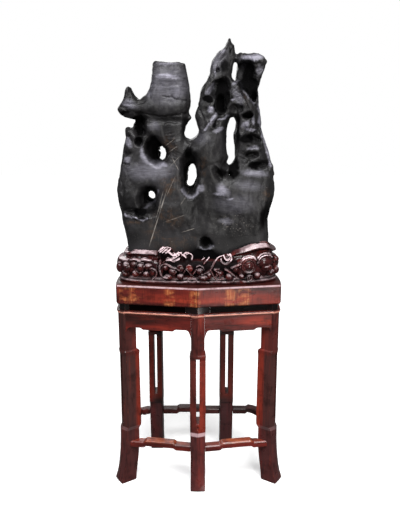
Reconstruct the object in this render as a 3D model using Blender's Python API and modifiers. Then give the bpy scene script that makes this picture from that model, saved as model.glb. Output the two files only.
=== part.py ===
"""A scholar's rock: a natural stone standing in a carved hardwood base on a small five-legged table.

Metres, +Z up. The front looks along -Y, and the origin is on the floor under the middle of the table.
"""

import bpy
import bmesh
import math
import numpy as np
from mathutils import Matrix, Vector, noise

# ------------------------------------------------------------------------------ driving dimensions
GAP = 0.0003                 # clearance between touching pieces

BOARD_TOP = 0.780            # top of the table
BOARD_BOTTOM = 0.707         # underside of the thick top frame
APRON_TOP = 0.681            # arris over the aprons, where the waist begins
APRON_EDGE = 0.620           # lower edge of an apron beside its leg brackets
APRON_DROP = 0.007           # extra drop of the middle stretch of an apron
BRACKET_FOOT = 0.584         # where an apron's curved bracket meets the leg
APRON_THICKNESS = 0.016
WAIST_RECESS = 0.013
WAIST_THICKNESS = 0.012
RIM_OVERHANG = 0.003
RIM_WIDTH = 0.060
PANEL_THICKNESS = 0.020
FRONT_STRETCHER = 0.147      # undersides of the stretchers
BACK_STRETCHER = 0.157
STRETCHER_HEIGHT = 0.022
STRETCHER_WIDTH = 0.034
STRETCHER_HUMP = 0.007       # rise of the middle stretch of a stretcher
STEP_START = 0.056           # distance from a leg's side to the step in apron and stretcher
STEP_LENGTH = 0.012

FRONT_LEG = (0.0, -0.157)    # each leg's place is the ridge of its outer face
SIDE_LEG = (0.284, -0.096)
RIGHT_SHIFT = 0.006          # how much further out the right end stands
SIDE_CORNER = (0.288, -0.108)   # where the front and end outlines meet, just before the side leg
BACK_LEG_XS = (-0.172, 0.117)
BACK_LINE = 0.170
SIDE_TURN = math.radians(58)
LEG_CANT = math.tan(math.radians(20))
WAIST_BLOCK_HALF = {"left": 0.024, "front": 0.043, "right": 0.024, "back_right": 0.043, "back_left": 0.043}
WAIST_BLOCK_FACE = -0.003     # how far its ridge stands out from the leg's
WAIST_BLOCK_REACH = 0.062    # how far a waist block runs in from the leg's face
SLOT_WIDTH = 0.012
SLOT_BOTTOM = 0.2595
SLOT_TOP = 0.5140

BASE_HALF_LENGTH = 0.288     # foot ring of the carved base
BASE_HALF_DEPTH = 0.118
BASE_EXPONENT = 3.0
SOCKET_FLOOR = 0.800
SOCKET_HALF_LENGTH = 0.2575
SOCKET_HALF_DEPTH = 0.0800
SOCKET_CLEARANCE = 0.0015
SOCKET_EXPONENT = 5.0

ROCK_VOXEL = 0.0065
ROCK_TRIANGLES = 3600
BASE_VOXEL = 0.0045
BASE_TRIANGLES = 3100
CUT_ALLOWANCE = 0.003        # wood left on the socket and the foot for the last cut

# ------------------------------------------------------------------------------ scene helpers
for old in list(bpy.data.objects):
    bpy.data.objects.remove(old, do_unlink=True)

part = bpy.data.collections.new("scholars_rock")
guides = bpy.data.collections.new("cutters")
bpy.context.scene.collection.children.link(part)
bpy.context.scene.collection.children.link(guides)


def material(name, color, roughness, metallic=0.0):
    """A Principled material with one colour."""
    made = bpy.data.materials.new(name)
    made.use_nodes = True
    shader = made.node_tree.nodes["Principled BSDF"]
    shader.inputs["Base Color"].default_value = (*color, 1.0)
    shader.inputs["Roughness"].default_value = roughness
    shader.inputs["Metallic"].default_value = metallic
    made.diffuse_color = (*color, 1.0)
    return made


def add_object(name, mesh, finish, collection=part):
    """Link a mesh as a named object with one material."""
    made = bpy.data.objects.new(name, mesh)
    collection.objects.link(made)
    if finish:
        mesh.materials.clear()
        mesh.materials.append(finish)
    return made


def mesh_from_bmesh(name, bm):
    """Write a bmesh to a new mesh with its faces pointing out."""
    bmesh.ops.recalc_face_normals(bm, faces=bm.faces)
    mesh = bpy.data.meshes.new(name)
    bm.to_mesh(mesh)
    bm.free()
    return mesh


def evaluated_mesh(source, name):
    """The mesh that an object's modifiers make, as a new mesh in world space."""
    bpy.context.view_layer.update()
    graph = bpy.context.evaluated_depsgraph_get()
    mesh = bpy.data.meshes.new_from_object(source.evaluated_get(graph))
    mesh.transform(source.matrix_world)
    mesh.name = name
    return mesh


def loft(rings):
    """A closed bmesh through rings of equally many points, with a flat cap at each end."""
    bm = bmesh.new()
    loops = [[bm.verts.new(point) for point in ring] for ring in rings]
    count = len(loops[0])
    for low, high in zip(loops, loops[1:]):
        for i in range(count):
            j = (i + 1) % count
            bm.faces.new((low[i], low[j], high[j], high[i]))
    bm.faces.new(loops[0])
    bm.faces.new(loops[-1])
    return bm


def cut_end(bm, point, normal):
    """Cut off what lies on the normal's side of a plane and close the cut."""
    geometry = bm.verts[:] + bm.edges[:] + bm.faces[:]
    cut = bmesh.ops.bisect_plane(bm, geom=geometry, plane_co=point, plane_no=normal, clear_outer=True)
    edges = [item for item in cut["geom_cut"] if isinstance(item, bmesh.types.BMEdge)]
    bmesh.ops.edgeloop_fill(bm, edges=edges)


def boolean(target, cutter, operation, solver="EXACT"):
    """Add a Boolean modifier and hide its cutter."""
    cutter.hide_render = True
    cutter.display_type = "WIRE"
    step = target.modifiers.new(operation.lower(), "BOOLEAN")
    step.operation = operation
    step.object = cutter
    step.solver = solver
    return step


def smoothstep(value):
    """Ease from 0 to 1."""
    t = min(max(value, 0.0), 1.0)
    return t * t * (3.0 - 2.0 * t)


# ------------------------------------------------------------------------------ plan of the table
LEGS = {
    "left": (-SIDE_LEG[0], SIDE_LEG[1], -SIDE_TURN),
    "front": (FRONT_LEG[0], FRONT_LEG[1], 0.0),
    "right": (SIDE_LEG[0] + RIGHT_SHIFT, SIDE_LEG[1], SIDE_TURN),
    "back_right": (BACK_LEG_XS[1], BACK_LINE, math.pi),
    "back_left": (BACK_LEG_XS[0], BACK_LINE, math.pi),
}
SIDES = {
    "front_left": ("left", "front"),
    "front_right": ("front", "right"),
    "right_end": ("right", "back_right"),
    "back": ("back_right", "back_left"),
    "left_end": ("back_left", "left"),
}
END_BEND_START = 0.190       # where the straight back turns into the rounded end
END_BULGE = 0.312
END_LEAVE = Vector((0.015, 0.065))


def outward(leg):
    """Unit vector out of a leg's outer face."""
    turn = LEGS[leg][2]
    return Vector((math.sin(turn), -math.cos(turn), 0.0))


def tangent(leg):
    """Unit vector along a leg's outer face, to the leg's own left seen from the middle."""
    turn = LEGS[leg][2]
    return Vector((math.cos(turn), math.sin(turn), 0.0))


def ridge(leg):
    """A leg's place on the floor."""
    return Vector((LEGS[leg][0], LEGS[leg][1], 0.0))


def corner(leg):
    """The corner of the table's outline at a leg."""
    if leg == "left":
        return Vector((-SIDE_CORNER[0], SIDE_CORNER[1]))
    if leg == "right":
        return Vector((SIDE_CORNER[0] + RIGHT_SHIFT, SIDE_CORNER[1]))
    return Vector(LEGS[leg][:2])


def end_curve(side_sign, steps=28):
    """The rounded end from a side leg to the straight back, as plan points."""
    start = Vector((SIDE_CORNER[0] + (RIGHT_SHIFT if side_sign > 0 else 0.0), SIDE_CORNER[1]))
    lines = (start, start + END_LEAVE, Vector((END_BULGE, BACK_LINE)), Vector((END_BEND_START, BACK_LINE)))
    points = []
    for i in range(steps + 1):
        t = i / steps
        u = 1.0 - t
        p = lines[0] * u ** 3 + lines[1] * 3 * t * u * u + lines[2] * 3 * t * t * u + lines[3] * t ** 3
        points.append(Vector((p.x * side_sign, p.y)))
    return points


def side_polyline(side):
    """Plan points of one side of the table, from corner to corner."""
    first, last = (corner(leg) for leg in SIDES[side])
    if side == "right_end":
        return end_curve(1.0) + [last]
    if side == "left_end":
        return [first] + end_curve(-1.0)[::-1]
    return [first.lerp(last, i / 12) for i in range(13)]


def along(side, distance):
    """Plan point and inward normal at a distance along a side."""
    points = side_polyline(side)
    rest = distance
    for a, b in zip(points, points[1:]):
        step = (b - a).length
        if rest <= step or b is points[-1]:
            heading = (b - a).normalized()
            return a + heading * rest, Vector((-heading.y, heading.x))
        rest -= step


def side_length(side):
    """Length of a side from leg to leg."""
    points = side_polyline(side)
    return sum((b - a).length for a, b in zip(points, points[1:]))


def smooth_normal(side, distance):
    """Inward normal at a distance along a side, averaged over a short stretch."""
    spread = 0.006
    length = side_length(side)
    samples = [along(side, min(max(distance + k * spread, 0.0), length))[1] for k in (-1, -0.5, 0, 0.5, 1)]
    return sum(samples, Vector((0.0, 0.0))).normalized()


def rail(name, side, section, stations, half_widths, finish):
    """Sweep a section along one side and cut it off at the legs' side faces.

    section(distance, length) gives (inset, height) points; half_widths are those of the two legs.
    """
    length = side_length(side)
    rings = []
    for distance in stations:
        point = along(side, distance)[0]
        normal = smooth_normal(side, distance)
        ring = []
        for inset, height in section(distance, length):
            spot = point + normal * inset
            ring.append((spot.x, spot.y, height))
        rings.append(ring)
    bm = loft(rings)
    first, last = SIDES[side]
    for leg, half, sign in ((first, half_widths[0], 1.0), (last, half_widths[1], -1.0)):
        axis = tangent(leg) * sign
        cut_end(bm, ridge(leg) + axis * (half + GAP), -axis)
    bmesh.ops.dissolve_limit(bm, angle_limit=math.radians(0.8), verts=bm.verts, edges=bm.edges)
    return add_object(name, mesh_from_bmesh(name, bm), finish)


def spaced(length, edges, middle):
    """Stations along a side: given distances from both ends and even ones between them."""
    inner = np.linspace(edges[-1], length - edges[-1], middle + 2)[1:-1]
    return [*edges, *inner, *(length - d for d in reversed(edges))]


# ------------------------------------------------------------------------------ finishes
STONE = material("dark_stone", (0.030, 0.028, 0.030), 0.42)
ROSEWOOD = material("rosewood", (0.150, 0.045, 0.030), 0.32)
DARK_ROSEWOOD = material("dark_rosewood", (0.055, 0.020, 0.016), 0.35)
CARVED_WOOD = material("carved_rosewood", (0.070, 0.024, 0.020), 0.28)

# ------------------------------------------------------------------------------ legs
# height, half width, reach outward at the corners and at the ridge, reach inward
LEG_STATIONS = (
    (0.0000, 0.0262, 0.0190, 0.0205, 0.038),
    (0.0050, 0.0272, 0.0225, 0.0240, 0.041),
    (0.0300, 0.0272, 0.0130, 0.0195, 0.043),
    (0.0580, 0.0268, 0.0070, 0.0150, 0.047),
    (0.0880, 0.0272, 0.0030, 0.0125, 0.051),
    (0.1220, 0.0270, -0.0005, 0.0095, 0.055),
    (0.1600, 0.0275, -0.0030, 0.0070, 0.057),
    (0.2130, 0.0275, -0.0040, 0.0060, 0.057),
    (0.2245, 0.0284, -0.0105, 0.0000, 0.065),
    (0.2360, 0.0287, -0.0105, 0.0000, 0.066),
    (0.5060, 0.0287, -0.0105, 0.0000, 0.064),
    (0.5180, 0.0295, -0.0075, 0.0030, 0.065),
    (0.5235, 0.0296, -0.0075, 0.0030, 0.065),
    (0.5290, 0.0242, -0.0070, 0.0020, 0.055),
    (0.6700, 0.0242, -0.0060, 0.0030, 0.055),
    (0.6740, 0.0242, -0.0025, 0.0065, 0.055),
    (0.6790, 0.0242, -0.0025, 0.0065, 0.055),
    (0.6810, 0.0242, -0.0045, 0.0045, 0.055),
)
BACK_TAPER = 0.92            # width of a leg at its back, as a share of its front


def leg_section(leg, height, half, near, out, inner):
    """The kite-shaped section: an outer face canted in two halves, square sides, a narrower back."""
    shape = ((0.0, out), (half, near), (half * BACK_TAPER, -inner), (-half * BACK_TAPER, -inner), (-half, near))
    place, side, front = ridge(leg), tangent(leg), outward(leg)
    return [place + side * v + front * u + Vector((0.0, 0.0, height)) for v, u in shape]


def slot_cutter(leg):
    """The tall slot through a leg's block, straight in from its outer face."""
    bpy.ops.mesh.primitive_cube_add(size=1.0)
    cutter = bpy.context.object
    cutter.name = f"slot_{leg}"
    depth = 0.20
    middle = ridge(leg) + Vector((0.0, 0.0, (SLOT_BOTTOM + SLOT_TOP) / 2))
    turn = Matrix.Rotation(LEGS[leg][2], 4, "Z")
    size = Matrix.Diagonal((SLOT_WIDTH, depth, SLOT_TOP - SLOT_BOTTOM, 1.0))
    cutter.data.transform(Matrix.Translation(middle) @ turn @ size)
    move_to(cutter, guides)
    return cutter


def move_to(item, collection):
    """Put an object in one collection only."""
    for owner in list(item.users_collection):
        owner.objects.unlink(item)
    collection.objects.link(item)


def notch_cutter(leg):
    """The small drop-shaped notch under a leg's slot."""
    bpy.ops.mesh.primitive_uv_sphere_add(segments=8, ring_count=4, radius=1.0)
    cutter = bpy.context.object
    cutter.name = f"notch_{leg}"
    middle = ridge(leg) + Vector((0.0, 0.0, 0.2440))
    turn = Matrix.Rotation(LEGS[leg][2], 4, "Z")
    cutter.data.transform(Matrix.Translation(middle) @ turn @ Matrix.Diagonal((0.0042, 0.006, 0.0085, 1.0)))
    move_to(cutter, guides)
    return cutter


def make_leg(leg):
    """One leg: foot, lower leg, ledge, slotted block, shoulder, post and waist block."""
    half = WAIST_BLOCK_HALF[leg]
    near = WAIST_BLOCK_FACE - half * LEG_CANT
    block = [(z, half, near, WAIST_BLOCK_FACE, WAIST_BLOCK_REACH) for z in (0.6815, BOARD_BOTTOM - GAP)]
    bm = loft([leg_section(leg, *row) for row in (*LEG_STATIONS, *block)])
    name = f"leg_{leg}"
    made = add_object(name, mesh_from_bmesh(name, bm), ROSEWOOD)
    boolean(made, slot_cutter(leg), "DIFFERENCE")
    boolean(made, notch_cutter(leg), "DIFFERENCE")
    return made


# ------------------------------------------------------------------------------ rails between legs
POST_HALF = 0.0242
LOWER_HALF = 0.0275


def step_shape(distance, length, half):
    """0 beside the legs and 1 over the middle stretch, with a short step between."""
    reach = min(distance, length - distance) - half
    return smoothstep((reach - STEP_START) / STEP_LENGTH)


def apron_section(distance, length):
    """An apron: shaped lower edge, plain face and a rounded arris along the top."""
    reach = min(distance, length - distance) - POST_HALF
    bracket = max(0.0, 1.0 - max(reach, 0.0) / 0.018) ** 2.4 * (APRON_EDGE - BRACKET_FOOT)
    low = APRON_EDGE - bracket - APRON_DROP * step_shape(distance, length, POST_HALF)
    face = 0.0025
    return (
        (face, low),
        (face, APRON_TOP - 0.0110),
        (face - 0.0055, APRON_TOP - 0.0065),
        (face - 0.0030, APRON_TOP),
        (face + APRON_THICKNESS, APRON_TOP),
        (face + APRON_THICKNESS, low),
    )


def stretcher_section(distance, length):
    """A flat stretcher with rounded edges, raised over its middle stretch."""
    low = STRETCHER_HUMP * step_shape(distance, length, LOWER_HALF)
    high = low + STRETCHER_HEIGHT
    near, far, edge = 0.003, 0.003 + STRETCHER_WIDTH, 0.004
    return (
        (near, low),
        (near, high - edge),
        (near + edge, high),
        (far - edge, high),
        (far, high - edge),
        (far, low),
    )


def waist_section(distance, length):
    """The thin recessed strip under the top frame."""
    near, far = WAIST_RECESS, WAIST_RECESS + WAIST_THICKNESS
    low, high = APRON_TOP + GAP, BOARD_BOTTOM - GAP
    return ((near, low), (near, high), (far, high), (far, low))


def rim_section(distance, length):
    """A member of the thick top frame, with a rounded upper edge and an eased lower one."""
    near, far = -RIM_OVERHANG, -RIM_OVERHANG + RIM_WIDTH
    return (
        (near + 0.003, BOARD_BOTTOM),
        (near, BOARD_BOTTOM + 0.004),
        (near, BOARD_TOP - 0.009),
        (near + 0.003, BOARD_TOP - 0.0025),
        (near + 0.0100, BOARD_TOP),
        (far, BOARD_TOP),
        (far, BOARD_BOTTOM),
    )


def make_rails():
    """Aprons, waist strips, top frame members and stretchers on all five sides."""
    for side in SIDES:
        length = side_length(side)
        curved = side.endswith("end")
        middle = 8 if curved else 2
        brackets = [POST_HALF + d for d in (0.0, 0.003, 0.007, 0.012, 0.018)]
        steps = [POST_HALF + STEP_START + d for d in (0.0, 0.004, 0.008, 0.012)]
        apron_stations = spaced(length, [0.0, *brackets, *steps], middle)
        rail(f"apron_{side}", side, apron_section, apron_stations, (POST_HALF, POST_HALF), ROSEWOOD)
        steps = [LOWER_HALF + STEP_START + d for d in (0.0, 0.004, 0.008, 0.012)]
        extra = [0.0, 0.045] if curved else [0.0]
        stations = spaced(length, [*extra, *steps], middle)
        made = rail(f"stretcher_{side}", side, stretcher_section, stations, (LOWER_HALF, LOWER_HALF), ROSEWOOD)
        height = FRONT_STRETCHER if side.startswith("front") else BACK_STRETCHER
        made.data.transform(Matrix.Translation((0.0, 0.0, height)))
        stations = [length * i / side_steps(side) for i in range(side_steps(side) + 1)]
        halves = [WAIST_BLOCK_HALF[leg] for leg in SIDES[side]]
        rail(f"waist_{side}", side, waist_section, stations, halves, DARK_ROSEWOOD)
        rail(f"rim_{side}", side, rim_section, stations, (0.0, 0.0), ROSEWOOD)


CORNER_EASE = 0.004          # extra clearance of the panel in the frame's corners


def side_steps(side):
    """Number of even steps along a side for the top frame, the waist and the panel."""
    return 12 if side.endswith("end") else 2


def plan_ring(inset, height):
    """The whole table outline at an inset, as points at one height."""
    ring = []
    for side in SIDES:
        length = side_length(side)
        count = side_steps(side)
        for i in range(count):
            distance = length * i / count
            corner_distance = distance if side == "right_end" else length - distance
            if i and side.endswith("end") and corner_distance < inset:
                continue
            point = along(side, distance)[0]
            if i == 0:
                leg = SIDES[side][0]
                before = list(SIDES)[list(SIDES).index(side) - 1]
                normal = (along(before, side_length(before))[1] + along(side, 0.0)[1]).normalized()
                cosine = normal.dot(along(side, 0.0)[1])
                spot = point + normal * ((inset + CORNER_EASE) / cosine)
            else:
                spot = point + smooth_normal(side, distance) * inset
            ring.append((spot.x, spot.y, height))
    return ring


def make_panel():
    """The panel that fills the top frame."""
    inset = RIM_WIDTH - RIM_OVERHANG + 2 * GAP
    rings = [plan_ring(inset, BOARD_TOP - PANEL_THICKNESS), plan_ring(inset, BOARD_TOP - GAP)]
    return add_object("top_panel", mesh_from_bmesh("top_panel", loft(rings)), ROSEWOOD)


# ------------------------------------------------------------------------------ carved base
def oval(half_length, half_depth, angle, exponent=BASE_EXPONENT):
    """A point of a squarish oval."""
    c, s = math.cos(angle), math.sin(angle)
    x = half_length * math.copysign(abs(c) ** (2.0 / exponent), c)
    y = half_depth * math.copysign(abs(s) ** (2.0 / exponent), s)
    return x, y


def lip_height(angle):
    """Height of the wall's top: a lip at both ends and round the back, low across the front."""
    x, y = oval(BASE_HALF_LENGTH, BASE_HALF_DEPTH, angle)
    front_gap = smoothstep((x + 0.150) / 0.030) * smoothstep((0.130 - x) / 0.030) * (1.0 if y < 0 else 0.0)
    rise = 0.040 * smoothstep((x - 0.120) / 0.110) - 0.026 * smoothstep((x - 0.245) / 0.040)
    droop = 0.0255 * smoothstep((-x - 0.195) / 0.085)
    return 0.890 + rise - droop - 0.022 * front_gap


def base_rings(count=44):
    """Rings from the foot up the outer wall, over the lip and down into the socket."""
    # outset from the foot ring's outline, share of the height between belly and lip
    wall = (
        (-0.004, BOARD_TOP + GAP - CUT_ALLOWANCE), (0.000, 0.7835), (0.001, 0.7920), (-0.002, 0.7970), (-0.010, 0.8030),
        (-0.009, 0.8100), (0.002, 0.8200), (0.008, 0.8340), (0.009, 0.8480), (0.004, 0.8620),
    )
    rings = []
    angles = [2 * math.pi * (i + 0.5) / count for i in range(count)]
    for outset, height in wall:
        rings.append([(*oval(BASE_HALF_LENGTH + outset, BASE_HALF_DEPTH + outset, a), height) for a in angles])
    lips = ((-0.009, 0.25), (-0.015, 0.50), (-0.013, 0.66), (-0.004, 0.74), (-0.001, 0.88), (-0.006, 1.0))
    for outset, share in lips:
        ring = []
        for a in angles:
            height = 0.8620 + (lip_height(a) - 0.8620) * share
            ring.append((*oval(BASE_HALF_LENGTH + outset, BASE_HALF_DEPTH + outset, a), height))
        rings.append(ring)
    inner_length = SOCKET_HALF_LENGTH + SOCKET_CLEARANCE - CUT_ALLOWANCE
    inner_depth = SOCKET_HALF_DEPTH + SOCKET_CLEARANCE - CUT_ALLOWANCE
    inside = ((0.010, 1.0), (0.006, 0.60), (0.0, 0.0))
    for outset, share in inside:
        ring = []
        for a in angles:
            height = 0.8620 + (lip_height(a) - 0.8620) * share
            ring.append((*oval(inner_length + outset, inner_depth + outset, a, SOCKET_EXPONENT), height))
        rings.append(ring)
    floor = SOCKET_FLOOR + CUT_ALLOWANCE
    rings.append([(*oval(inner_length, inner_depth, a, SOCKET_EXPONENT), floor) for a in angles])
    return rings


# carved heads: place along the base in x, height, half width, half height, standing proud of the belly
HEADS = (
    (-0.272, 0.838, 0.022, 0.020, 0.010), (-0.238, 0.824, 0.018, 0.017, 0.013), (-0.232, 0.854, 0.022, 0.013, 0.008),
    (-0.200, 0.841, 0.021, 0.019, 0.014), (-0.173, 0.842, 0.015, 0.015, 0.012), (-0.185, 0.815, 0.020, 0.012, 0.012),
    (-0.219, 0.811, 0.016, 0.010, 0.008), (-0.152, 0.830, 0.017, 0.018, 0.009), (-0.126, 0.836, 0.012, 0.026, 0.011),
    (-0.100, 0.847, 0.018, 0.013, 0.012), (-0.089, 0.824, 0.018, 0.014, 0.010), (-0.063, 0.810, 0.018, 0.011, 0.009),
    (-0.060, 0.838, 0.016, 0.018, 0.007), (-0.028, 0.832, 0.018, 0.016, 0.009), (0.000, 0.812, 0.022, 0.012, 0.009),
    (0.022, 0.828, 0.020, 0.014, 0.010), (0.045, 0.812, 0.018, 0.011, 0.010), (0.078, 0.826, 0.022, 0.016, 0.011),
    (0.108, 0.812, 0.016, 0.014, 0.013), (0.140, 0.826, 0.014, 0.017, 0.008), (0.155, 0.807, 0.011, 0.009, 0.010),
    (0.184, 0.806, 0.010, 0.009, 0.011), (0.207, 0.818, 0.014, 0.014, 0.008), (0.244, 0.846, 0.026, 0.024, 0.014),
    (0.254, 0.812, 0.018, 0.013, 0.010), (0.280, 0.848, 0.020, 0.014, 0.009), (0.283, 0.818, 0.016, 0.014, 0.009),
)
# scrolls that stand up from the low front wall, and the branch that carries the right one
SCROLLS = (
    (-0.124, 0.889, 0.019, 0.026, -0.007), (-0.099, 0.882, 0.017, 0.027, -0.008), (-0.073, 0.874, 0.019, 0.022, -0.005),
    (-0.030, 0.868, 0.018, 0.022, -0.004), (0.056, 0.855, 0.011, 0.024, 0.003), (0.073, 0.866, 0.012, 0.018, 0.000),
    (0.102, 0.872, 0.021, 0.020, 0.001),
)
BACK_HEADS = ((-0.200, 0.835, 0.026, 0.020, 0.012), (-0.120, 0.830, 0.022, 0.022, 0.010),
              (-0.040, 0.838, 0.026, 0.018, 0.012), (0.050, 0.828, 0.024, 0.020, 0.010),
              (0.130, 0.838, 0.026, 0.018, 0.012), (0.210, 0.832, 0.024, 0.020, 0.012))
MEDALLION = (0.175, 0.845)   # place of the ringed medallion
MEDALLION_RADIUS = 0.027
MEDALLION_PROUD = 0.011
HEAD_DEPTH = 0.018           # half depth of a head


def belly_point(x, front):
    """Point of the belly's widest outline above x, with its outward angle."""
    a, b = BASE_HALF_LENGTH + 0.008, BASE_HALF_DEPTH + 0.008
    share = min(abs(x) / a, 0.9999)
    y = b * (1.0 - share ** BASE_EXPONENT) ** (1.0 / BASE_EXPONENT)
    slope_x = share ** (BASE_EXPONENT - 1) / a * math.copysign(1.0, x)
    slope_y = (y / b) ** (BASE_EXPONENT - 1) / b
    return Vector((x, -y if front else y, 0.0)), Vector((slope_x, -slope_y if front else slope_y, 0.0)).normalized()


def on_belly(mesh, x, height, front, half_width, half_height, half_depth, middle_out):
    """Scale a unit shape and set it on the belly, its own Y pointing out of the belly."""
    place, normal = belly_point(x, front)
    side = Vector((0.0, 0.0, 1.0)).cross(normal)
    for vert in mesh.verts:
        across, out, up = vert.co
        spot = place + side * (across * half_width) + normal * (out * half_depth + middle_out)
        vert.co = spot + Vector((0.0, 0.0, height + up * half_height))


def head_solid(x, height, half_width, half_height, proud, front):
    """A fungus head or scroll: a low dome."""
    bm = bmesh.new()
    bmesh.ops.create_icosphere(bm, subdivisions=2, radius=1.0)
    on_belly(bm, x, height, front, half_width, half_height, HEAD_DEPTH, proud - HEAD_DEPTH)
    return mesh_from_bmesh("head", bm)


def medallion_solid():
    """The medallion: a dished disc with a round boss."""
    bm = bmesh.new()
    rows = ((-1.0, 1.0), (0.55, 1.0), (1.0, 0.84), (0.70, 0.64), (0.70, 0.50), (1.25, 0.34))
    loops = []
    for out, radius in rows:
        spots = [2 * math.pi * i / 14 for i in range(14)]
        loops.append([bm.verts.new((radius * math.cos(t), out, radius * math.sin(t))) for t in spots])
    for low, high in zip(loops, loops[1:]):
        for i in range(14):
            j = (i + 1) % 14
            bm.faces.new((low[i], low[j], high[j], high[i]))
    bm.faces.new(loops[0])
    bm.faces.new(loops[-1])
    size = MEDALLION_RADIUS
    on_belly(bm, *MEDALLION, True, size, size, MEDALLION_PROUD, 0.0)
    return mesh_from_bmesh("medallion", bm)


def socket_solid():
    """What the stone's root needs free: a straight plug of the socket's outline."""
    length = SOCKET_HALF_LENGTH + SOCKET_CLEARANCE
    depth = SOCKET_HALF_DEPTH + SOCKET_CLEARANCE
    angles = [2 * math.pi * (i + 0.5) / 44 for i in range(44)]
    heights = (SOCKET_FLOOR, 0.95)
    rings = [[(*oval(length, depth, a, SOCKET_EXPONENT), height) for a in angles] for height in heights]
    return mesh_from_bmesh("socket", loft(rings))


def below_foot():
    """The space under the foot of the base."""
    bm = bmesh.new()
    bmesh.ops.create_cube(bm, size=1.0)
    bmesh.ops.transform(bm, matrix=Matrix.Translation((0.0, 0.0, BOARD_TOP + GAP - 0.5)), verts=bm.verts)
    return mesh_from_bmesh("below_foot", bm)


def make_base():
    """The carved base: foot ring, belly with fungus heads and scrolls, rolled lip and socket."""
    carving = add_object("carving", mesh_from_bmesh("carving", loft(base_rings())), None, guides)
    solids = [head_solid(*row, True) for row in (*HEADS, *SCROLLS)]
    solids += [head_solid(*row, False) for row in BACK_HEADS]
    solids.append(medallion_solid())
    for mesh in solids:
        boolean(carving, add_object("carving_cutter", mesh, None, guides), "UNION", "MANIFOLD")
    step = carving.modifiers.new("even", "REMESH")
    step.mode = "VOXEL"
    step.voxel_size = BASE_VOXEL
    mesh = evaluated_mesh(carving, "carved_base")
    bpy.data.objects.remove(carving)
    made = add_object("carved_base", mesh, CARVED_WOOD)
    triangles = sum(len(face.vertices) - 2 for face in mesh.polygons)
    step = made.modifiers.new("facets", "DECIMATE")
    step.ratio = BASE_TRIANGLES / triangles
    boolean(made, add_object("socket_cutter", socket_solid(), None, guides), "DIFFERENCE")
    boolean(made, add_object("foot_cutter", below_foot(), None, guides), "DIFFERENCE")
    return made


# ------------------------------------------------------------------------------ the stone
# outer outline from the root up the left side, over the peaks and down the right, in millimetres
OUTLINE_MM = (
    (-248, 800), (-251, 850), (-254, 885), (-254, 902), (-257, 922), (-263, 958), (-270, 987), (-276, 1020),
    (-284, 1052), (-290, 1080), (-293, 1106), (-289, 1130), (-285, 1147), (-279, 1165), (-275, 1193),
    (-269, 1211), (-264, 1239), (-258, 1264), (-254, 1288), (-255, 1316), (-250, 1326), (-229, 1324),
    (-226, 1334), (-217, 1349), (-224, 1356), (-238, 1359), (-256, 1362), (-270, 1373), (-280, 1385),
    (-278, 1392), (-268, 1402), (-258, 1414), (-252, 1430), (-250, 1450), (-246, 1460), (-238, 1464),
    (-232, 1460), (-230, 1450), (-223, 1436), (-214, 1425), (-204, 1417), (-194, 1426), (-180, 1440),
    (-170, 1456), (-162, 1479), (-157, 1503), (-153, 1533), (-147, 1544), (-120, 1546), (-92, 1544),
    (-70, 1546), (-54, 1542), (-43, 1538), (-40, 1518), (-34, 1483), (-27, 1459), (-23, 1412),
    (-27, 1390), (-30, 1378), (-22, 1358), (-34, 1343), (-41, 1328), (-47, 1302), (-42, 1287),
    (-29, 1281), (-17, 1287), (-3, 1299), (3, 1313), (-3, 1344), (-8, 1364), (1, 1388), (7, 1410),
    (11, 1446), (19, 1463), (33, 1483), (42, 1508), (45, 1533), (51, 1554), (65, 1573), (82, 1587),
    (94, 1600), (101, 1615), (107, 1629), (113, 1629), (119, 1614), (128, 1604), (131, 1587), (134, 1566),
    (140, 1579), (147, 1582), (156, 1577), (180, 1572), (208, 1571), (229, 1562), (238, 1547),
    (231, 1526), (220, 1499), (213, 1479), (208, 1456), (212, 1432), (219, 1380), (221, 1350),
    (223, 1323), (230, 1302), (239, 1274), (251, 1239), (256, 1211), (266, 1189), (270, 1158),
    (276, 1122), (275, 1088), (271, 1061), (262, 1028), (256, 998), (258, 960), (259, 915), (255, 860),
    (251, 800),
)
HOLES_MM = (
    ((135, 1550), (129, 1550), (124, 1533), (119, 1500), (125, 1486), (135, 1483), (138, 1528)),
    ((128, 1365), (113, 1358), (105, 1335), (103, 1299), (101, 1264), (104, 1239), (109, 1222), (101, 1205),
     (109, 1191), (122, 1196), (132, 1216), (134, 1239), (128, 1297), (134, 1316), (136, 1342)),
    ((-27, 1192), (-20, 1198), (-11, 1196), (-6, 1182), (-6, 1156), (-12, 1136), (-22, 1123), (-33, 1120),
     (-38, 1130), (-33, 1146), (-32, 1172)),
    ((-137, 1218), (-127, 1209), (-114, 1214), (-110, 1234), (-114, 1254), (-126, 1261), (-138, 1253)),
    ((-177, 1096), (-166, 1100), (-157, 1095), (-154, 1083), (-159, 1072), (-170, 1070), (-178, 1079)),
    ((106, 1156), (111, 1153), (117, 1156), (118, 1163), (113, 1168), (106, 1165)),
)
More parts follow.
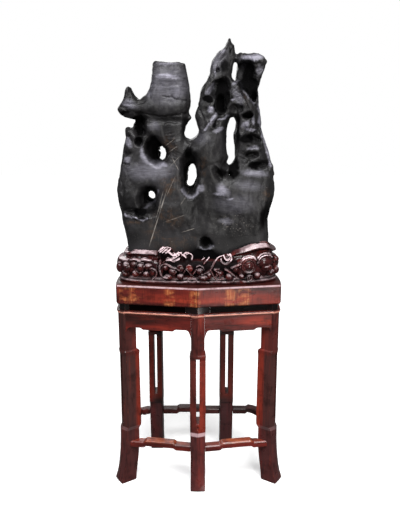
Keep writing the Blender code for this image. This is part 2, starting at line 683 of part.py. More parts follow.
# hollows (positive depth) and swellings (negative) of a face, in millimetres:
# x, height, half width, half height, lean in degrees, depth, steepness of the sides (0 soft, 1 steep)
FRONT_FORMS_MM = (
    # through-holes' funnels
    (-148, 1246, 38, 52, -12, 34, 0.55), (-122, 1232, 24, 28, 0, 20, 0.5),
    (-179, 1066, 38, 56, -14, 30, 0.5), (-166, 1084, 22, 24, 0, 20, 0.5),
    (-28, 1164, 31, 84, 0, 34, 0.6), (112, 1280, 30, 96, 0, 14, 0.3),
    # left edge: undercut below the arm, round pit, shallow wedge over the ledge
    (-200, 1332, 22, 48, 6, 30, 0.6), (-208, 1279, 15, 15, 0, 18, 0.7), (-224, 1032, 44, 15, 4, 10, 0.7),
    (-130, 1352, 100, 15, 3, 9, 0.5), (-120, 1392, 110, 26, 4, -6, 0.3), (-170, 1322, 20, 26, 20, -6, 0.2),
    # left peak: folded top band and flanks
    (-92, 1524, 70, 16, 4, 7, 0.4), (-95, 1492, 76, 15, 4, -4, 0.3), (-60, 1452, 30, 26, 0, -4, 0.2),
    (-90, 1200, 40, 120, 14, -7, 0.0), (-36, 1352, 16, 40, 0, 10, 0.3),
    # right peak: cavity, deep hole under it, bump, ridged foot
    (76, 1456, 46, 29, -32, 28, 0.6), (80, 1400, 22, 34, 0, 38, 0.7), (46, 1390, 13, 14, 0, -9, 0.2),
    (98, 1543, 20, 32, -10, 9, 0.3), (65, 1518, 8, 8, 0, 9, 0.5), (66, 1344, 26, 10, -50, 8, 0.4),
    (136, 1432, 30, 40, -20, 10, 0.2), (136, 1389, 24, 16, 0, 12, 0.4),
    # right block: black broken face, pits and knuckles down its side
    (166, 1502, 37, 43, 12, 24, 0.8), (209, 1524, 20, 20, 0, 5, 0.6), (193, 1430, 14, 19, 0, 20, 0.7),
    (174, 1361, 21, 11, -8, 18, 0.6), (182, 1330, 26, 22, 0, -7, 0.2),
    (197, 1287, 34, 17, 8, 15, 0.5), (192, 1229, 26, 12, 6, 11, 0.5), (222, 1194, 34, 17, -14, 16, 0.5),
    (70, 1166, 13, 38, -26, 10, 0.3), (118, 1196, 34, 26, 0, 12, 0.3),
    # body: bottom pit, broad swellings, turned-away right side
    (30, 920, 23, 23, 0, 22, 0.7), (145, 1108, 90, 76, 0, -9, 0.0), (-70, 1010, 90, 60, 0, -5, 0.0),
    (0, 1040, 20, 70, 12, 7, 0.0), (258, 1000, 22, 90, 0, 20, 0.3), (30, 1250, 34, 70, -8, -6, 0.0),
)
BACK_FORMS_MM = (
    (-28, 1160, 32, 62, 0, 28, 0.5), (-126, 1232, 34, 40, 0, 28, 0.5), (-166, 1086, 32, 38, 0, 26, 0.5),
    (112, 1280, 34, 90, 0, 22, 0.3), (-70, 1320, 30, 66, -10, 14, 0.3), (60, 1020, 90, 60, 10, 18, 0.2),
    (190, 1160, 50, 74, -15, 20, 0.3), (-210, 1180, 38, 60, 20, 16, 0.4), (-110, 1430, 40, 74, 10, 14, 0.3),
    (160, 1440, 40, 66, 0, 18, 0.5), (-130, 930, 76, 50, 0, 14, 0.2), (-10, 1250, 34, 56, 0, -8, 0.0),
    (222, 1300, 24, 66, -10, -9, 0.1), (70, 1470, 34, 40, 20, 16, 0.5), (-240, 1060, 20, 40, 0, 12, 0.5),
    (-40, 1080, 60, 26, -20, 12, 0.5), (130, 940, 46, 30, 0, -8, 0.1), (-220, 1320, 26, 30, 0, 18, 0.6),
)
# raised ridges of the front: points in millimetres, half width, height
RIDGES_MM = (
    (((107, 1612), (92, 1582), (60, 1552), (46, 1502), (26, 1478), (28, 1436)), 9, 8),
    (((15, 1310), (34, 1334), (53, 1356)), 8, 8),
    (((50, 1322), (84, 1324)), 8, 5),
    (((150, 1482), (172, 1450), (197, 1412), (206, 1402)), 8, 8),
    (((222, 1322), (236, 1275), (256, 1214), (269, 1150)), 10, 8),
    (((187, 1545), (209, 1490), (233, 1543)), 7, 6),
    (((-259, 1016), (-210, 1012), (-176, 1010)), 8, 5),
    (((8, 900), (30, 894), (52, 902)), 6, 5),
)
ROOT_THICKNESS = 0.072       # half thickness of the stone low down
TOP_THICKNESS = 0.050        # half thickness of the peaks
EDGE_ROUND = 0.050           # width of the band over which the faces round off into the edges
EDGE_SHARE = 0.34            # half thickness left at the outline
ROOT_TOP = 0.930             # the stone fits the socket up to here


def stone_blank():
    """The outline with its through-holes, extruded and remeshed to even faces."""
    curve = bpy.data.curves.new("stone_outline", "CURVE")
    curve.dimensions = "2D"
    curve.fill_mode = "BOTH"
    curve.extrude = 0.08
    for loop in (OUTLINE_MM, *HOLES_MM):
        spline = curve.splines.new("POLY")
        spline.points.add(len(loop) - 1)
        for point, (x, z) in zip(spline.points, loop):
            point.co = (x / 1000, z / 1000, 0.0, 1.0)
        spline.use_cyclic_u = True
    blank = bpy.data.objects.new("stone_outline", curve)
    blank.rotation_euler = (math.radians(90), 0.0, 0.0)
    guides.objects.link(blank)
    mesh = evaluated_mesh(blank, "stone_blank")
    bpy.data.objects.remove(blank)
    bm = bmesh.new()
    bm.from_mesh(mesh)
    bmesh.ops.remove_doubles(bm, verts=bm.verts, dist=0.00005)
    bm.to_mesh(mesh)
    bm.free()
    block = add_object("stone_block", mesh, None, guides)
    step = block.modifiers.new("even", "REMESH")
    step.mode = "VOXEL"
    step.voxel_size = ROCK_VOXEL
    even = evaluated_mesh(block, "stone_even")
    bpy.data.objects.remove(block)
    return even


def line_distance(x, z, points):
    """Distance from each place to a polyline."""
    best = np.full(len(x), 1e9)
    for a, b in zip(points, points[1:]):
        edge = b - a
        t = np.clip(((x - a[0]) * edge[0] + (z - a[1]) * edge[1]) / (edge @ edge), 0.0, 1.0)
        best = np.minimum(best, np.hypot(x - a[0] - t * edge[0], z - a[1] - t * edge[1]))
    return best


def outline_distance(x, z):
    """Distance from each place to the nearest edge of the outline or of a hole."""
    best = line_distance(x, z, np.array(OUTLINE_MM) / 1000)
    for loop in HOLES_MM:
        best = np.minimum(best, line_distance(x, z, np.array((*loop, loop[0])) / 1000))
    return best


def soft(value):
    """smoothstep on arrays."""
    t = np.clip(value, 0.0, 1.0)
    return t * t * (3.0 - 2.0 * t)


def form_weight(x, z, form):
    """How strongly a form acts at each place: 1 in its middle, 0 outside."""
    cx, cz, half_w, half_h, lean, _, steep = form
    c, s = math.cos(math.radians(lean)), math.sin(math.radians(lean))
    dx, dz = x - cx / 1000, z - cz / 1000
    u = (dx * c - dz * s) / (half_w / 1000)
    v = (dx * s + dz * c) / (half_h / 1000)
    return soft((1.12 - np.hypot(u, v)) / (1.0 - 0.72 * steep))


def middle_surface(x, z):
    """How far the slab's middle surface wanders in depth."""
    arm = soft((-0.170 - x) / 0.09) * soft((z - 1.33) / 0.06)
    block = soft((x - 0.130) / 0.06) * soft((z - 1.38) / 0.10)
    peak = soft((z - 1.40) / 0.15) * (1.0 - block) * soft((x + 0.01) / 0.04)
    return -0.018 * arm - 0.014 * block + 0.012 * peak + 0.014 * np.sin(x * 9.0 + z * 4.0) * soft((z - 0.95) / 0.1)


def shape_stone(mesh):
    """Give the slab its thickness, rounded edges, hollows and swellings."""
    count = len(mesh.vertices)
    co = np.empty(count * 3)
    mesh.vertices.foreach_get("co", co)
    co = co.reshape(-1, 3)
    x, y, z = co.T
    depth = y / 0.08
    edge = outline_distance(x, z)
    height = soft((z - 0.95) / 0.50)
    thickness = ROOT_THICKNESS + (TOP_THICKNESS - ROOT_THICKNESS) * height
    thickness = thickness * (1.0 - 0.30 * soft((-0.20 - x) / 0.05) * soft((z - 1.33) / 0.03))
    thickness = thickness * (1.0 + 0.16 * np.sin(x * 13.0 + 0.6) * np.sin(z * 11.0) * soft((z - 0.95) / 0.1))
    share = np.clip(edge / EDGE_ROUND, 0.0, 1.0)
    rounded = EDGE_SHARE + (1.0 - EDGE_SHARE) * np.sqrt(1.0 - (1.0 - share) ** 2)
    new_y = depth * thickness * rounded
    for face, forms in ((-1.0, FRONT_FORMS_MM), (1.0, BACK_FORMS_MM)):
        facing = soft(depth * face * 1.3)
        for form in forms:
            new_y -= face * facing * form_weight(x, z, form) * form[5] / 1000
    for points, half_width, rise in RIDGES_MM:
        away = line_distance(x, z, np.array(points) / 1000)
        new_y -= soft(-depth * 1.3) * soft(1.0 - away / (half_width / 1000)) * rise / 1000
    new_y += middle_surface(x, z) * soft((z - 0.90) / 0.15)
    across = np.clip(np.abs(x) / SOCKET_HALF_LENGTH, 0.0, 0.999)
    room = SOCKET_HALF_DEPTH * (1.0 - across ** SOCKET_EXPONENT) ** (1.0 / SOCKET_EXPONENT)
    rooted = z < ROOT_TOP
    new_y[rooted] = np.clip(new_y[rooted], -room[rooted], room[rooted])
    x[rooted] = np.clip(x[rooted], 0.002 - SOCKET_HALF_LENGTH, SOCKET_HALF_LENGTH - 0.002)
    y[:] = new_y
    mesh.vertices.foreach_set("co", co.ravel())


def weather_stone(mesh):
    """Broad lumps and flutes pressed into the surface along its normals."""
    bm = bmesh.new()
    bm.from_mesh(mesh)
    for _ in range(2):
        bmesh.ops.smooth_vert(bm, verts=bm.verts, factor=0.5, use_axis_x=True, use_axis_y=True, use_axis_z=True)
    bm.normal_update()
    moves = []
    for vert in bm.verts:
        spot = vert.co
        lumps = noise.noise(Vector((spot.x * 17.0, spot.y * 17.0, spot.z * 11.0 + 3.0)))
        flutes = noise.noise(Vector((spot.x * 46.0, spot.y * 46.0, spot.z * 24.0 + 9.0)))
        root = smoothstep((spot.z - ROOT_TOP) / 0.06)
        moves.append(vert.normal * ((0.0065 * lumps + 0.0030 * flutes) * root))
    for vert, move in zip(bm.verts, moves):
        vert.co += move
    floor = SOCKET_FLOOR + GAP
    for vert in bm.verts:
        if vert.co.z < floor + ROCK_VOXEL * 0.8:
            vert.co.z = floor
    bm.to_mesh(mesh)
    bm.free()


def make_stone():
    """The stone: one natural piece."""
    mesh = stone_blank()
    shape_stone(mesh)
    weather_stone(mesh)
    made = add_object("rock", mesh, STONE)
    triangles = sum(len(face.vertices) - 2 for face in mesh.polygons)
    step = made.modifiers.new("facets", "DECIMATE")
    step.ratio = ROCK_TRIANGLES / triangles
    return made


make_stone()
make_base()
make_panel()
for leg_name in LEGS:
    make_leg(leg_name)
make_rails()
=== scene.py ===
"""Looks of a scholar's rock: a dark natural stone in a carved hardwood base on a small five-legged table.

Metres, +Z up, front towards -Y, origin on the floor under the middle of the table.
"""

import math

import bmesh
import bpy
import numpy as np
from bpy.props import FloatProperty, FloatVectorProperty, PointerProperty
from mathutils import Matrix, Vector, noise


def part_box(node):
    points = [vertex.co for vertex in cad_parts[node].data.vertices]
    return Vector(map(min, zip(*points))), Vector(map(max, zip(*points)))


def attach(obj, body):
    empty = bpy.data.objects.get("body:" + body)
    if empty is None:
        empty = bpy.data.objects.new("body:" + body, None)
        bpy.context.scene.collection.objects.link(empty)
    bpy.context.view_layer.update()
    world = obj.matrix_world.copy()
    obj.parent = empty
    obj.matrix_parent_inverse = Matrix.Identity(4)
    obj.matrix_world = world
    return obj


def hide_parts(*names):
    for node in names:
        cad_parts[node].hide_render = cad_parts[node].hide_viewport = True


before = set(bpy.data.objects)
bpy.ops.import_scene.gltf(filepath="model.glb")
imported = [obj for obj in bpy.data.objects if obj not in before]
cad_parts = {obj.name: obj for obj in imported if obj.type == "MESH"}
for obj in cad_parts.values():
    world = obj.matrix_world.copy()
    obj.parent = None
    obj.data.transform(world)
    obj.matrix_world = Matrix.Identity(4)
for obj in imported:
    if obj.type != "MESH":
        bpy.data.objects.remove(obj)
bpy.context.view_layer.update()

bl_info = {
    "name": "Scholar's rock",
    "version": (1, 0, 0),
    "blender": (4, 5, 0),
    "location": "View3D > Sidebar > Scholar's rock",
    "description": "Builds a scholar's rock with its carved base and table",
    "category": "Add Mesh",
}

MOST_TRIANGLES = 190000
BOARD_TOP = 0.780            # top of the table, where the carved base stands
SOCKET_FLOOR = 0.800


# ------------------------------------------------------------------------------ meshes
def soft(value):
    """Ease from 0 to 1, on numbers or arrays."""
    t = np.clip(value, 0.0, 1.0)
    return t * t * (3.0 - 2.0 * t)


def in_metres(rows):
    """Rows of whole millimetres as metres."""
    return tuple(tuple(number / 1000 for number in row) for row in rows)


def new_piece(name, mesh, finish, *nodes, slot):
    """Link a mesh as a finished piece that stands for CAD nodes."""
    piece = bpy.data.objects.new(name, mesh)
    bpy.context.scene.collection.objects.link(piece)
    mesh.materials.clear()
    mesh.materials.append(finish)
    mesh.shade_smooth()
    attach(piece, "root")
    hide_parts(*nodes)
    return piece


def remade(mesh, kind, **settings):
    """The mesh after one modifier."""
    holder = bpy.data.objects.new("holder", mesh)
    bpy.context.scene.collection.objects.link(holder)
    step = holder.modifiers.new("step", kind)
    for key, value in settings.items():
        setattr(step, key, value)
    bpy.context.view_layer.update()
    result = bpy.data.meshes.new_from_object(holder.evaluated_get(bpy.context.evaluated_depsgraph_get()))
    bpy.data.objects.remove(holder)
    bpy.data.meshes.remove(mesh)
    return result


def evened(mesh, voxel):
    """The mesh's outer surface as even quads of about one voxel."""
    return remade(mesh, "REMESH", mode="VOXEL", voxel_size=voxel)


def thinned(mesh):
    """The mesh with no more than MOST_TRIANGLES, fewest where it is flat."""
    triangles = sum(len(face.vertices) - 2 for face in mesh.polygons)
    return remade(mesh, "DECIMATE", ratio=min(1.0, MOST_TRIANGLES / triangles))


def smoothed(mesh, times):
    """Even out a mesh's points a few times."""
    bm = bmesh.new()
    bm.from_mesh(mesh)
    for _ in range(times):
        bmesh.ops.smooth_vert(bm, verts=bm.verts, factor=0.5,
                              use_axis_x=True, use_axis_y=True, use_axis_z=True)
    bm.to_mesh(mesh)
    bm.free()


def points_of(mesh):
    """A mesh's points as an array."""
    co = np.empty(len(mesh.vertices) * 3)
    mesh.vertices.foreach_get("co", co)
    return co.reshape(-1, 3)


def normals_of(mesh):
    """A mesh's point normals as an array."""
    found = np.empty(len(mesh.vertices) * 3, np.float32)
    mesh.vertex_normals.foreach_get("vector", found)
    return found.reshape(-1, 3).astype(float)


def set_points(mesh, co):
    """Write an array back to a mesh's points."""
    mesh.vertices.foreach_set("co", co.ravel())
    mesh.update()


def set_attribute(mesh, name, values):
    """Store one number for each point, for the materials to read."""
    made = mesh.attributes.new(name, "FLOAT", "POINT")
    made.data.foreach_set("value", np.asarray(values, np.float32))


def turbulence(co, scale, seed, octaves=1):
    """Smooth noise at each point, about -1 to 1; scale is one number or three."""
    spots = co * np.asarray(scale) + seed
    if octaves == 1:
        return np.array([noise.noise(spot) for spot in spots.tolist()])
    return np.array([noise.fractal(spot, 0.9, 2.1, octaves) for spot in spots.tolist()])


def line_distance(x, z, points):
    """Distance from each place to a polyline."""
    best = np.full(len(x), 1e9)
    for a, b in zip(points, points[1:]):
        edge = b - a
        t = np.clip(((x - a[0]) * edge[0] + (z - a[1]) * edge[1]) / (edge @ edge), 0.0, 1.0)
        best = np.minimum(best, np.hypot(x - a[0] - t * edge[0], z - a[1] - t * edge[1]))
    return best


def line_weight(x, z, points_mm, half_width_mm):
    """1 on a polyline, falling to 0 at its half width."""
    return soft(1.0 - line_distance(x, z, np.array(points_mm) / 1000) / (half_width_mm / 1000))


def form_weight(x, z, form):
    """How strongly a form acts at each place: 1 in its middle, 0 outside."""
    cx, cz, half_w, half_h, lean, _, steep = form
    c, s = math.cos(math.radians(lean)), math.sin(math.radians(lean))
    dx, dz = x - cx / 1000, z - cz / 1000
    u = (dx * c - dz * s) / (half_w / 1000)
    v = (dx * s + dz * c) / (half_h / 1000)
    return soft((1.12 - np.hypot(u, v)) / (1.0 - 0.72 * steep))


# ------------------------------------------------------------------------------ material nodes
def new_material(name):
    """A node material, its tree and its Principled shader."""
    made = bpy.data.materials.new(name)
    made.use_nodes = True
    return made, made.node_tree, made.node_tree.nodes["Principled BSDF"]


def add(tree, kind, values=None, **settings):
    """Add a node; values sets its sockets, with a number, a colour or another node's socket."""
    node = tree.nodes.new(kind)
    for key, value in settings.items():
        setattr(node, key, value)
    for key, value in (values or {}).items():
        if isinstance(value, bpy.types.NodeSocket):
            tree.links.new(value, node.inputs[key])
        else:
            node.inputs[key].default_value = value
    return node


def place(tree, scale=(1.0, 1.0, 1.0), turn=(0.0, 0.0, 0.0)):
    """Object coordinates, stretched and turned."""
    coords = add(tree, "ShaderNodeTexCoord").outputs["Object"]
    values = {"Vector": coords, "Scale": scale, "Rotation": turn}
    return add(tree, "ShaderNodeMapping", values).outputs["Vector"]


def noise_of(tree, where, scale, detail=4.0, rough=0.55, distortion=0.0):
    """Noise as one number."""
    values = {"Vector": where, "Scale": scale, "Detail": detail, "Roughness": rough, "Distortion": distortion}
    return add(tree, "ShaderNodeTexNoise", values).outputs["Fac"]


def cells_of(tree, where, scale, feature="F1"):
    """Distance to the nearest cell point."""
    values = {"Vector": where, "Scale": scale}
    return add(tree, "ShaderNodeTexVoronoi", values, feature=feature).outputs["Distance"]


def span(tree, value, low, high, to_low=0.0, to_high=1.0):
    """Map a number from one range to another, clamped."""
    values = {"Value": value, "From Min": low, "From Max": high, "To Min": to_low, "To Max": to_high}
    return add(tree, "ShaderNodeMapRange", values, clamp=True).outputs["Result"]


def ramp(tree, factor, stops):
    """A colour ramp through (position, colour) stops."""
    node = add(tree, "ShaderNodeValToRGB", {"Fac": factor})
    band = node.color_ramp
    while len(band.elements) < len(stops):
        band.elements.new(1.0)
    for element, (position, colour) in zip(band.elements, stops):
        element.position = position
        element.color = (*colour, 1.0)
    return node.outputs["Color"]


def blend(tree, factor, first, second, how="MIX"):
    """Mix two colours."""
    node = add(tree, "ShaderNodeMix", data_type="RGBA", blend_type=how)
    for socket, value in ((0, factor), (6, first), (7, second)):
        if isinstance(value, bpy.types.NodeSocket):
            tree.links.new(value, node.inputs[socket])
        else:
            node.inputs[socket].default_value = value if socket == 0 else (*value, 1.0)
    return node.outputs[2]


def maths(tree, operation, first, second=0.0):
    """One step of arithmetic."""
    return add(tree, "ShaderNodeMath", {0: first, 1: second}, operation=operation).outputs[0]


def times(tree, first, second):
    """The product of two numbers."""
    return maths(tree, "MULTIPLY", first, second)


def shaded(colour, share):
    """A colour made darker or lighter."""
    return tuple(share * part for part in colour)


def bump(tree, height, distance, strength=1.0, normal=None):
    """A bump from a height."""
    values = {"Height": height, "Distance": distance, "Strength": strength}
    if normal is not None:
        values["Normal"] = normal
    return add(tree, "ShaderNodeBump", values).outputs["Normal"]


def attribute(tree, name):
    """A number stored on the mesh."""
    return add(tree, "ShaderNodeAttribute", attribute_name=name).outputs["Fac"]


def near(tree, middle, radius):
    """1 at a place, falling to 0 at its radii."""
    coords = add(tree, "ShaderNodeTexCoord").outputs["Object"]
    sizes = tuple(1.0 / r for r in radius)
    offset = tuple(-m * s for m, s in zip(middle, sizes))
    values = {"Vector": coords, "Scale": sizes, "Location": offset}
    spot = add(tree, "ShaderNodeMapping", values).outputs["Vector"]
    away = add(tree, "ShaderNodeVectorMath", {0: spot}, operation="LENGTH").outputs["Value"]
    return span(tree, away, 1.0, 0.0)


def stroke(tree, start, end, width):
    """1 along a thin straight line drawn on the front, given by two (x, z) places."""
    length = math.hypot(end[0] - start[0], end[1] - start[1])
    angle = math.atan2(end[1] - start[1], end[0] - start[0])
    middle = ((start[0] + end[0]) / 2, 0.0, (start[1] + end[1]) / 2)
    coords = add(tree, "ShaderNodeTexCoord").outputs["Object"]
    moved = add(tree, "ShaderNodeVectorMath", {0: coords, 1: middle}, operation="SUBTRACT").outputs["Vector"]
    turned = add(tree, "ShaderNodeVectorRotate", {"Vector": moved, "Angle": angle}, rotation_type="Y_AXIS")
    parts = add(tree, "ShaderNodeSeparateXYZ", {0: turned.outputs["Vector"]})
    across = span(tree, maths(tree, "ABSOLUTE", parts.outputs["Z"]), width, width * 0.3)
    along = span(tree, maths(tree, "ABSOLUTE", parts.outputs["X"]), length / 2, length * 0.35)
    return times(tree, across, along)


# ------------------------------------------------------------------------------ the stone's shape
# the stone seen from the front: x and height in millimetres
OUTLINE_MM = (
    (-248, 800), (-251, 850), (-254, 885), (-254, 902), (-257, 922), (-263, 958), (-270, 987), (-276, 1020),
    (-284, 1052), (-290, 1080), (-293, 1106), (-289, 1130), (-285, 1147), (-279, 1165), (-275, 1193),
    (-269, 1211), (-264, 1239), (-258, 1264), (-254, 1288), (-255, 1316), (-250, 1326), (-229, 1324),
    (-226, 1334), (-217, 1349), (-224, 1356), (-238, 1359), (-256, 1362), (-270, 1373), (-280, 1385),
    (-278, 1392), (-268, 1402), (-258, 1414), (-252, 1430), (-250, 1450), (-246, 1460), (-238, 1464),
    (-232, 1460), (-230, 1450), (-223, 1436), (-214, 1425), (-204, 1417), (-194, 1426), (-180, 1440),
    (-170, 1456), (-162, 1479), (-157, 1503), (-153, 1533), (-147, 1544), (-120, 1546), (-92, 1544),
    (-70, 1546), (-54, 1542), (-43, 1538), (-40, 1518), (-34, 1483), (-27, 1459), (-23, 1412),
    (-27, 1390), (-30, 1378), (-22, 1358), (-34, 1343), (-41, 1328), (-47, 1302), (-42, 1287),
    (-29, 1281), (-17, 1287), (-3, 1299), (3, 1313), (-3, 1344), (-8, 1364), (1, 1388), (7, 1410),
    (11, 1446), (19, 1463), (33, 1483), (42, 1508), (45, 1533), (51, 1554), (65, 1573), (82, 1587),
    (94, 1600), (101, 1615), (107, 1629), (113, 1629), (119, 1614), (128, 1604), (131, 1587), (134, 1566),
    (140, 1579), (147, 1582), (156, 1577), (180, 1572), (208, 1571), (229, 1562), (238, 1547),
    (231, 1526), (220, 1499), (213, 1479), (208, 1456), (212, 1432), (219, 1380), (221, 1350),
    (223, 1323), (230, 1302), (239, 1274), (251, 1239), (256, 1211), (266, 1189), (270, 1158),
    (276, 1122), (275, 1088), (271, 1061), (262, 1028), (256, 998), (258, 960), (259, 915), (255, 860),
    (251, 800),
)
HOLES_MM = (
    ((135, 1550), (129, 1550), (124, 1533), (119, 1500), (125, 1486), (135, 1483), (138, 1528)),
    ((128, 1365), (113, 1358), (105, 1335), (103, 1299), (101, 1264), (104, 1239), (109, 1222), (101, 1205),
     (109, 1191), (122, 1196), (132, 1216), (134, 1239), (128, 1297), (134, 1316), (136, 1342)),
    ((-27, 1192), (-20, 1198), (-11, 1196), (-6, 1182), (-6, 1156), (-12, 1136), (-22, 1123), (-33, 1120),
     (-38, 1130), (-33, 1146), (-32, 1172)),
    ((-137, 1218), (-127, 1209), (-114, 1214), (-110, 1234), (-114, 1254), (-126, 1261), (-138, 1253)),
    ((-177, 1096), (-166, 1100), (-157, 1095), (-154, 1083), (-159, 1072), (-170, 1070), (-178, 1079)),
    ((106, 1156), (111, 1153), (117, 1156), (118, 1163), (113, 1168), (106, 1165)),
)
# broad hollows (positive depth) and swellings of each face, in millimetres:
# x, height, half width, half height, lean in degrees, depth, steepness
FRONT_FORMS_MM = (
    # through-holes' funnels
    (-148, 1246, 38, 52, -12, 34, 0.55), (-122, 1232, 24, 28, 0, 20, 0.5),
    (-179, 1066, 38, 56, -14, 30, 0.5), (-166, 1084, 22, 24, 0, 20, 0.5),
    (-28, 1164, 31, 84, 0, 34, 0.6), (112, 1280, 30, 96, 0, 14, 0.3),
    # left edge: undercut below the arm, round pit, shallow wedge over the ledge
    (-200, 1332, 22, 48, 6, 30, 0.6), (-208, 1279, 15, 15, 0, 18, 0.7), (-224, 1032, 44, 15, 4, 10, 0.7),
    (-130, 1352, 100, 15, 3, 9, 0.5), (-120, 1392, 110, 26, 4, -6, 0.3), (-170, 1322, 20, 26, 20, -6, 0.2),
    # left peak: folded top band and flanks
    (-92, 1524, 70, 16, 4, 7, 0.4), (-95, 1492, 76, 15, 4, -4, 0.3), (-60, 1452, 30, 26, 0, -4, 0.2),
    (-90, 1200, 40, 120, 14, -7, 0.0), (-36, 1352, 16, 40, 0, 10, 0.3),
    # right peak: cavity, deep hole under it, bump, ridged foot
    (76, 1456, 46, 29, -32, 28, 0.6), (80, 1400, 22, 34, 0, 38, 0.7), (46, 1390, 13, 14, 0, -9, 0.2),
    (98, 1543, 20, 32, -10, 9, 0.3), (65, 1518, 8, 8, 0, 9, 0.5), (66, 1344, 26, 10, -50, 8, 0.4),
    (136, 1432, 30, 40, -20, 10, 0.2), (136, 1389, 24, 16, 0, 12, 0.4),
    # right block: black broken face, pits and knuckles down its side
    (166, 1502, 37, 43, 12, 24, 0.8), (209, 1524, 20, 20, 0, 5, 0.6), (193, 1430, 14, 19, 0, 20, 0.7),
    (174, 1361, 21, 11, -8, 18, 0.6), (182, 1330, 26, 22, 0, -7, 0.2),
    (197, 1287, 34, 17, 8, 15, 0.5), (192, 1229, 26, 12, 6, 11, 0.5), (222, 1194, 34, 17, -14, 16, 0.5),
    (70, 1166, 13, 38, -26, 10, 0.3), (118, 1196, 34, 26, 0, 12, 0.3),
    # body: bottom pit, broad swellings, turned-away right side
    (30, 920, 23, 23, 0, 22, 0.7), (145, 1108, 90, 76, 0, -9, 0.0), (-70, 1010, 90, 60, 0, -5, 0.0),
    (0, 1040, 20, 70, 12, 7, 0.0), (258, 1000, 22, 90, 0, 20, 0.3), (30, 1250, 34, 70, -8, -6, 0.0),
)
BACK_FORMS_MM = (
    (-28, 1160, 32, 62, 0, 28, 0.5), (-126, 1232, 34, 40, 0, 28, 0.5), (-166, 1086, 32, 38, 0, 26, 0.5),
    (112, 1280, 34, 90, 0, 22, 0.3), (-70, 1320, 30, 66, -10, 14, 0.3), (60, 1020, 90, 60, 10, 18, 0.2),
    (190, 1160, 50, 74, -15, 20, 0.3), (-210, 1180, 38, 60, 20, 16, 0.4), (-110, 1430, 40, 74, 10, 14, 0.3),
    (160, 1440, 40, 66, 0, 18, 0.5), (-130, 930, 76, 50, 0, 14, 0.2), (-10, 1250, 34, 56, 0, -8, 0.0),
    (222, 1300, 24, 66, -10, -9, 0.1), (70, 1470, 34, 40, 20, 16, 0.5), (-240, 1060, 20, 40, 0, 12, 0.5),
    (-40, 1080, 60, 26, -20, 12, 0.5), (130, 940, 46, 30, 0, -8, 0.1), (-220, 1320, 26, 30, 0, 18, 0.6),
)
# raised ridges of the front: points, half width, height
RIDGES_MM = (
    (((107, 1612), (92, 1582), (60, 1552), (46, 1502), (26, 1478), (28, 1436)), 9, 8),
    (((15, 1310), (34, 1334), (53, 1356)), 8, 8),
    (((50, 1322), (84, 1324)), 8, 5),
    (((150, 1482), (172, 1450), (197, 1412), (206, 1402)), 8, 8),
    (((222, 1322), (236, 1275), (256, 1214), (269, 1150)), 10, 8),
    (((187, 1545), (209, 1490), (233, 1543)), 7, 6),
    (((-259, 1016), (-210, 1012), (-176, 1010)), 8, 5),
    (((8, 900), (30, 894), (52, 902)), 6, 5),
)
# small hollows of the front: x, height, half width, half height, lean, depth, steepness
FINE_HOLLOWS_MM = (
    (111, 1161, 7, 7, 0, 9, 0.8), (-239, 1290, 6, 6, 0, 7, 0.8), (-147, 1216, 12, 8, 20, 5, 0.4),
    (70, 1518, 6, 7, 0, 7, 0.7), (58, 1478, 16, 7, -30, 4, 0.3), (92, 1434, 20, 12, -10, 12, 0.7),
    (76, 1404, 17, 26, 4, 16, 0.8), (30, 1384, 9, 14, 0, 6, 0.4), (150, 1388, 10, 12, 30, 7, 0.5),
    (131, 1394, 6, 9, -20, 6, 0.6), (196, 1428, 9, 14, 0, 9, 0.8), (176, 1361, 15, 7, -8, 8, 0.8),
    (188, 1344, 12, 5, -20, 5, 0.6), (160, 1322, 8, 14, 30, 5, 0.5), (205, 1312, 12, 6, 0, 6, 0.6),
    (197, 1288, 26, 9, 8, 9, 0.7), (186, 1258, 22, 5, 4, 5, 0.6), (192, 1230, 20, 6, 6, 7, 0.7),
    (230, 1196, 20, 8, -14, 9, 0.7), (176, 1206, 12, 6, -20, 5, 0.5), (72, 1168, 8, 30, -28, 6, 0.5),
    (96, 1192, 13, 20, 10, 7, 0.5), (132, 1176, 10, 14, 0, 6, 0.4), (-222, 1028, 32, 8, 4, 8, 0.8),
    (-190, 1040, 20, 18, -20, 6, 0.4), (30, 918, 15, 15, 0, 8, 0.8), (-204, 1334, 13, 34, 4, 10, 0.8),
    (-188, 1306, 12, 10, 0, 9, 0.7), (-208, 1279, 11, 11, 0, 9, 0.9), (-140, 1236, 24, 34, -10, 8, 0.5),
    (-28, 1150, 18, 50, 0, 10, 0.5), (-171, 1062, 22, 34, -14, 8, 0.5), (166, 1506, 26, 34, 10, 12, 0.8),
    (190, 1476, 12, 18, 10, 10, 0.7), (-244, 1386, 20, 8, 20, 4, 0.4), (-236, 1428, 8, 22, 10, 4, 0.3),
    (-262, 1250, 8, 20, -6, 5, 0.5), (-252, 1196, 16, 8, 20, 5, 0.4), (-268, 1100, 8, 26, 0, 4, 0.3),
)
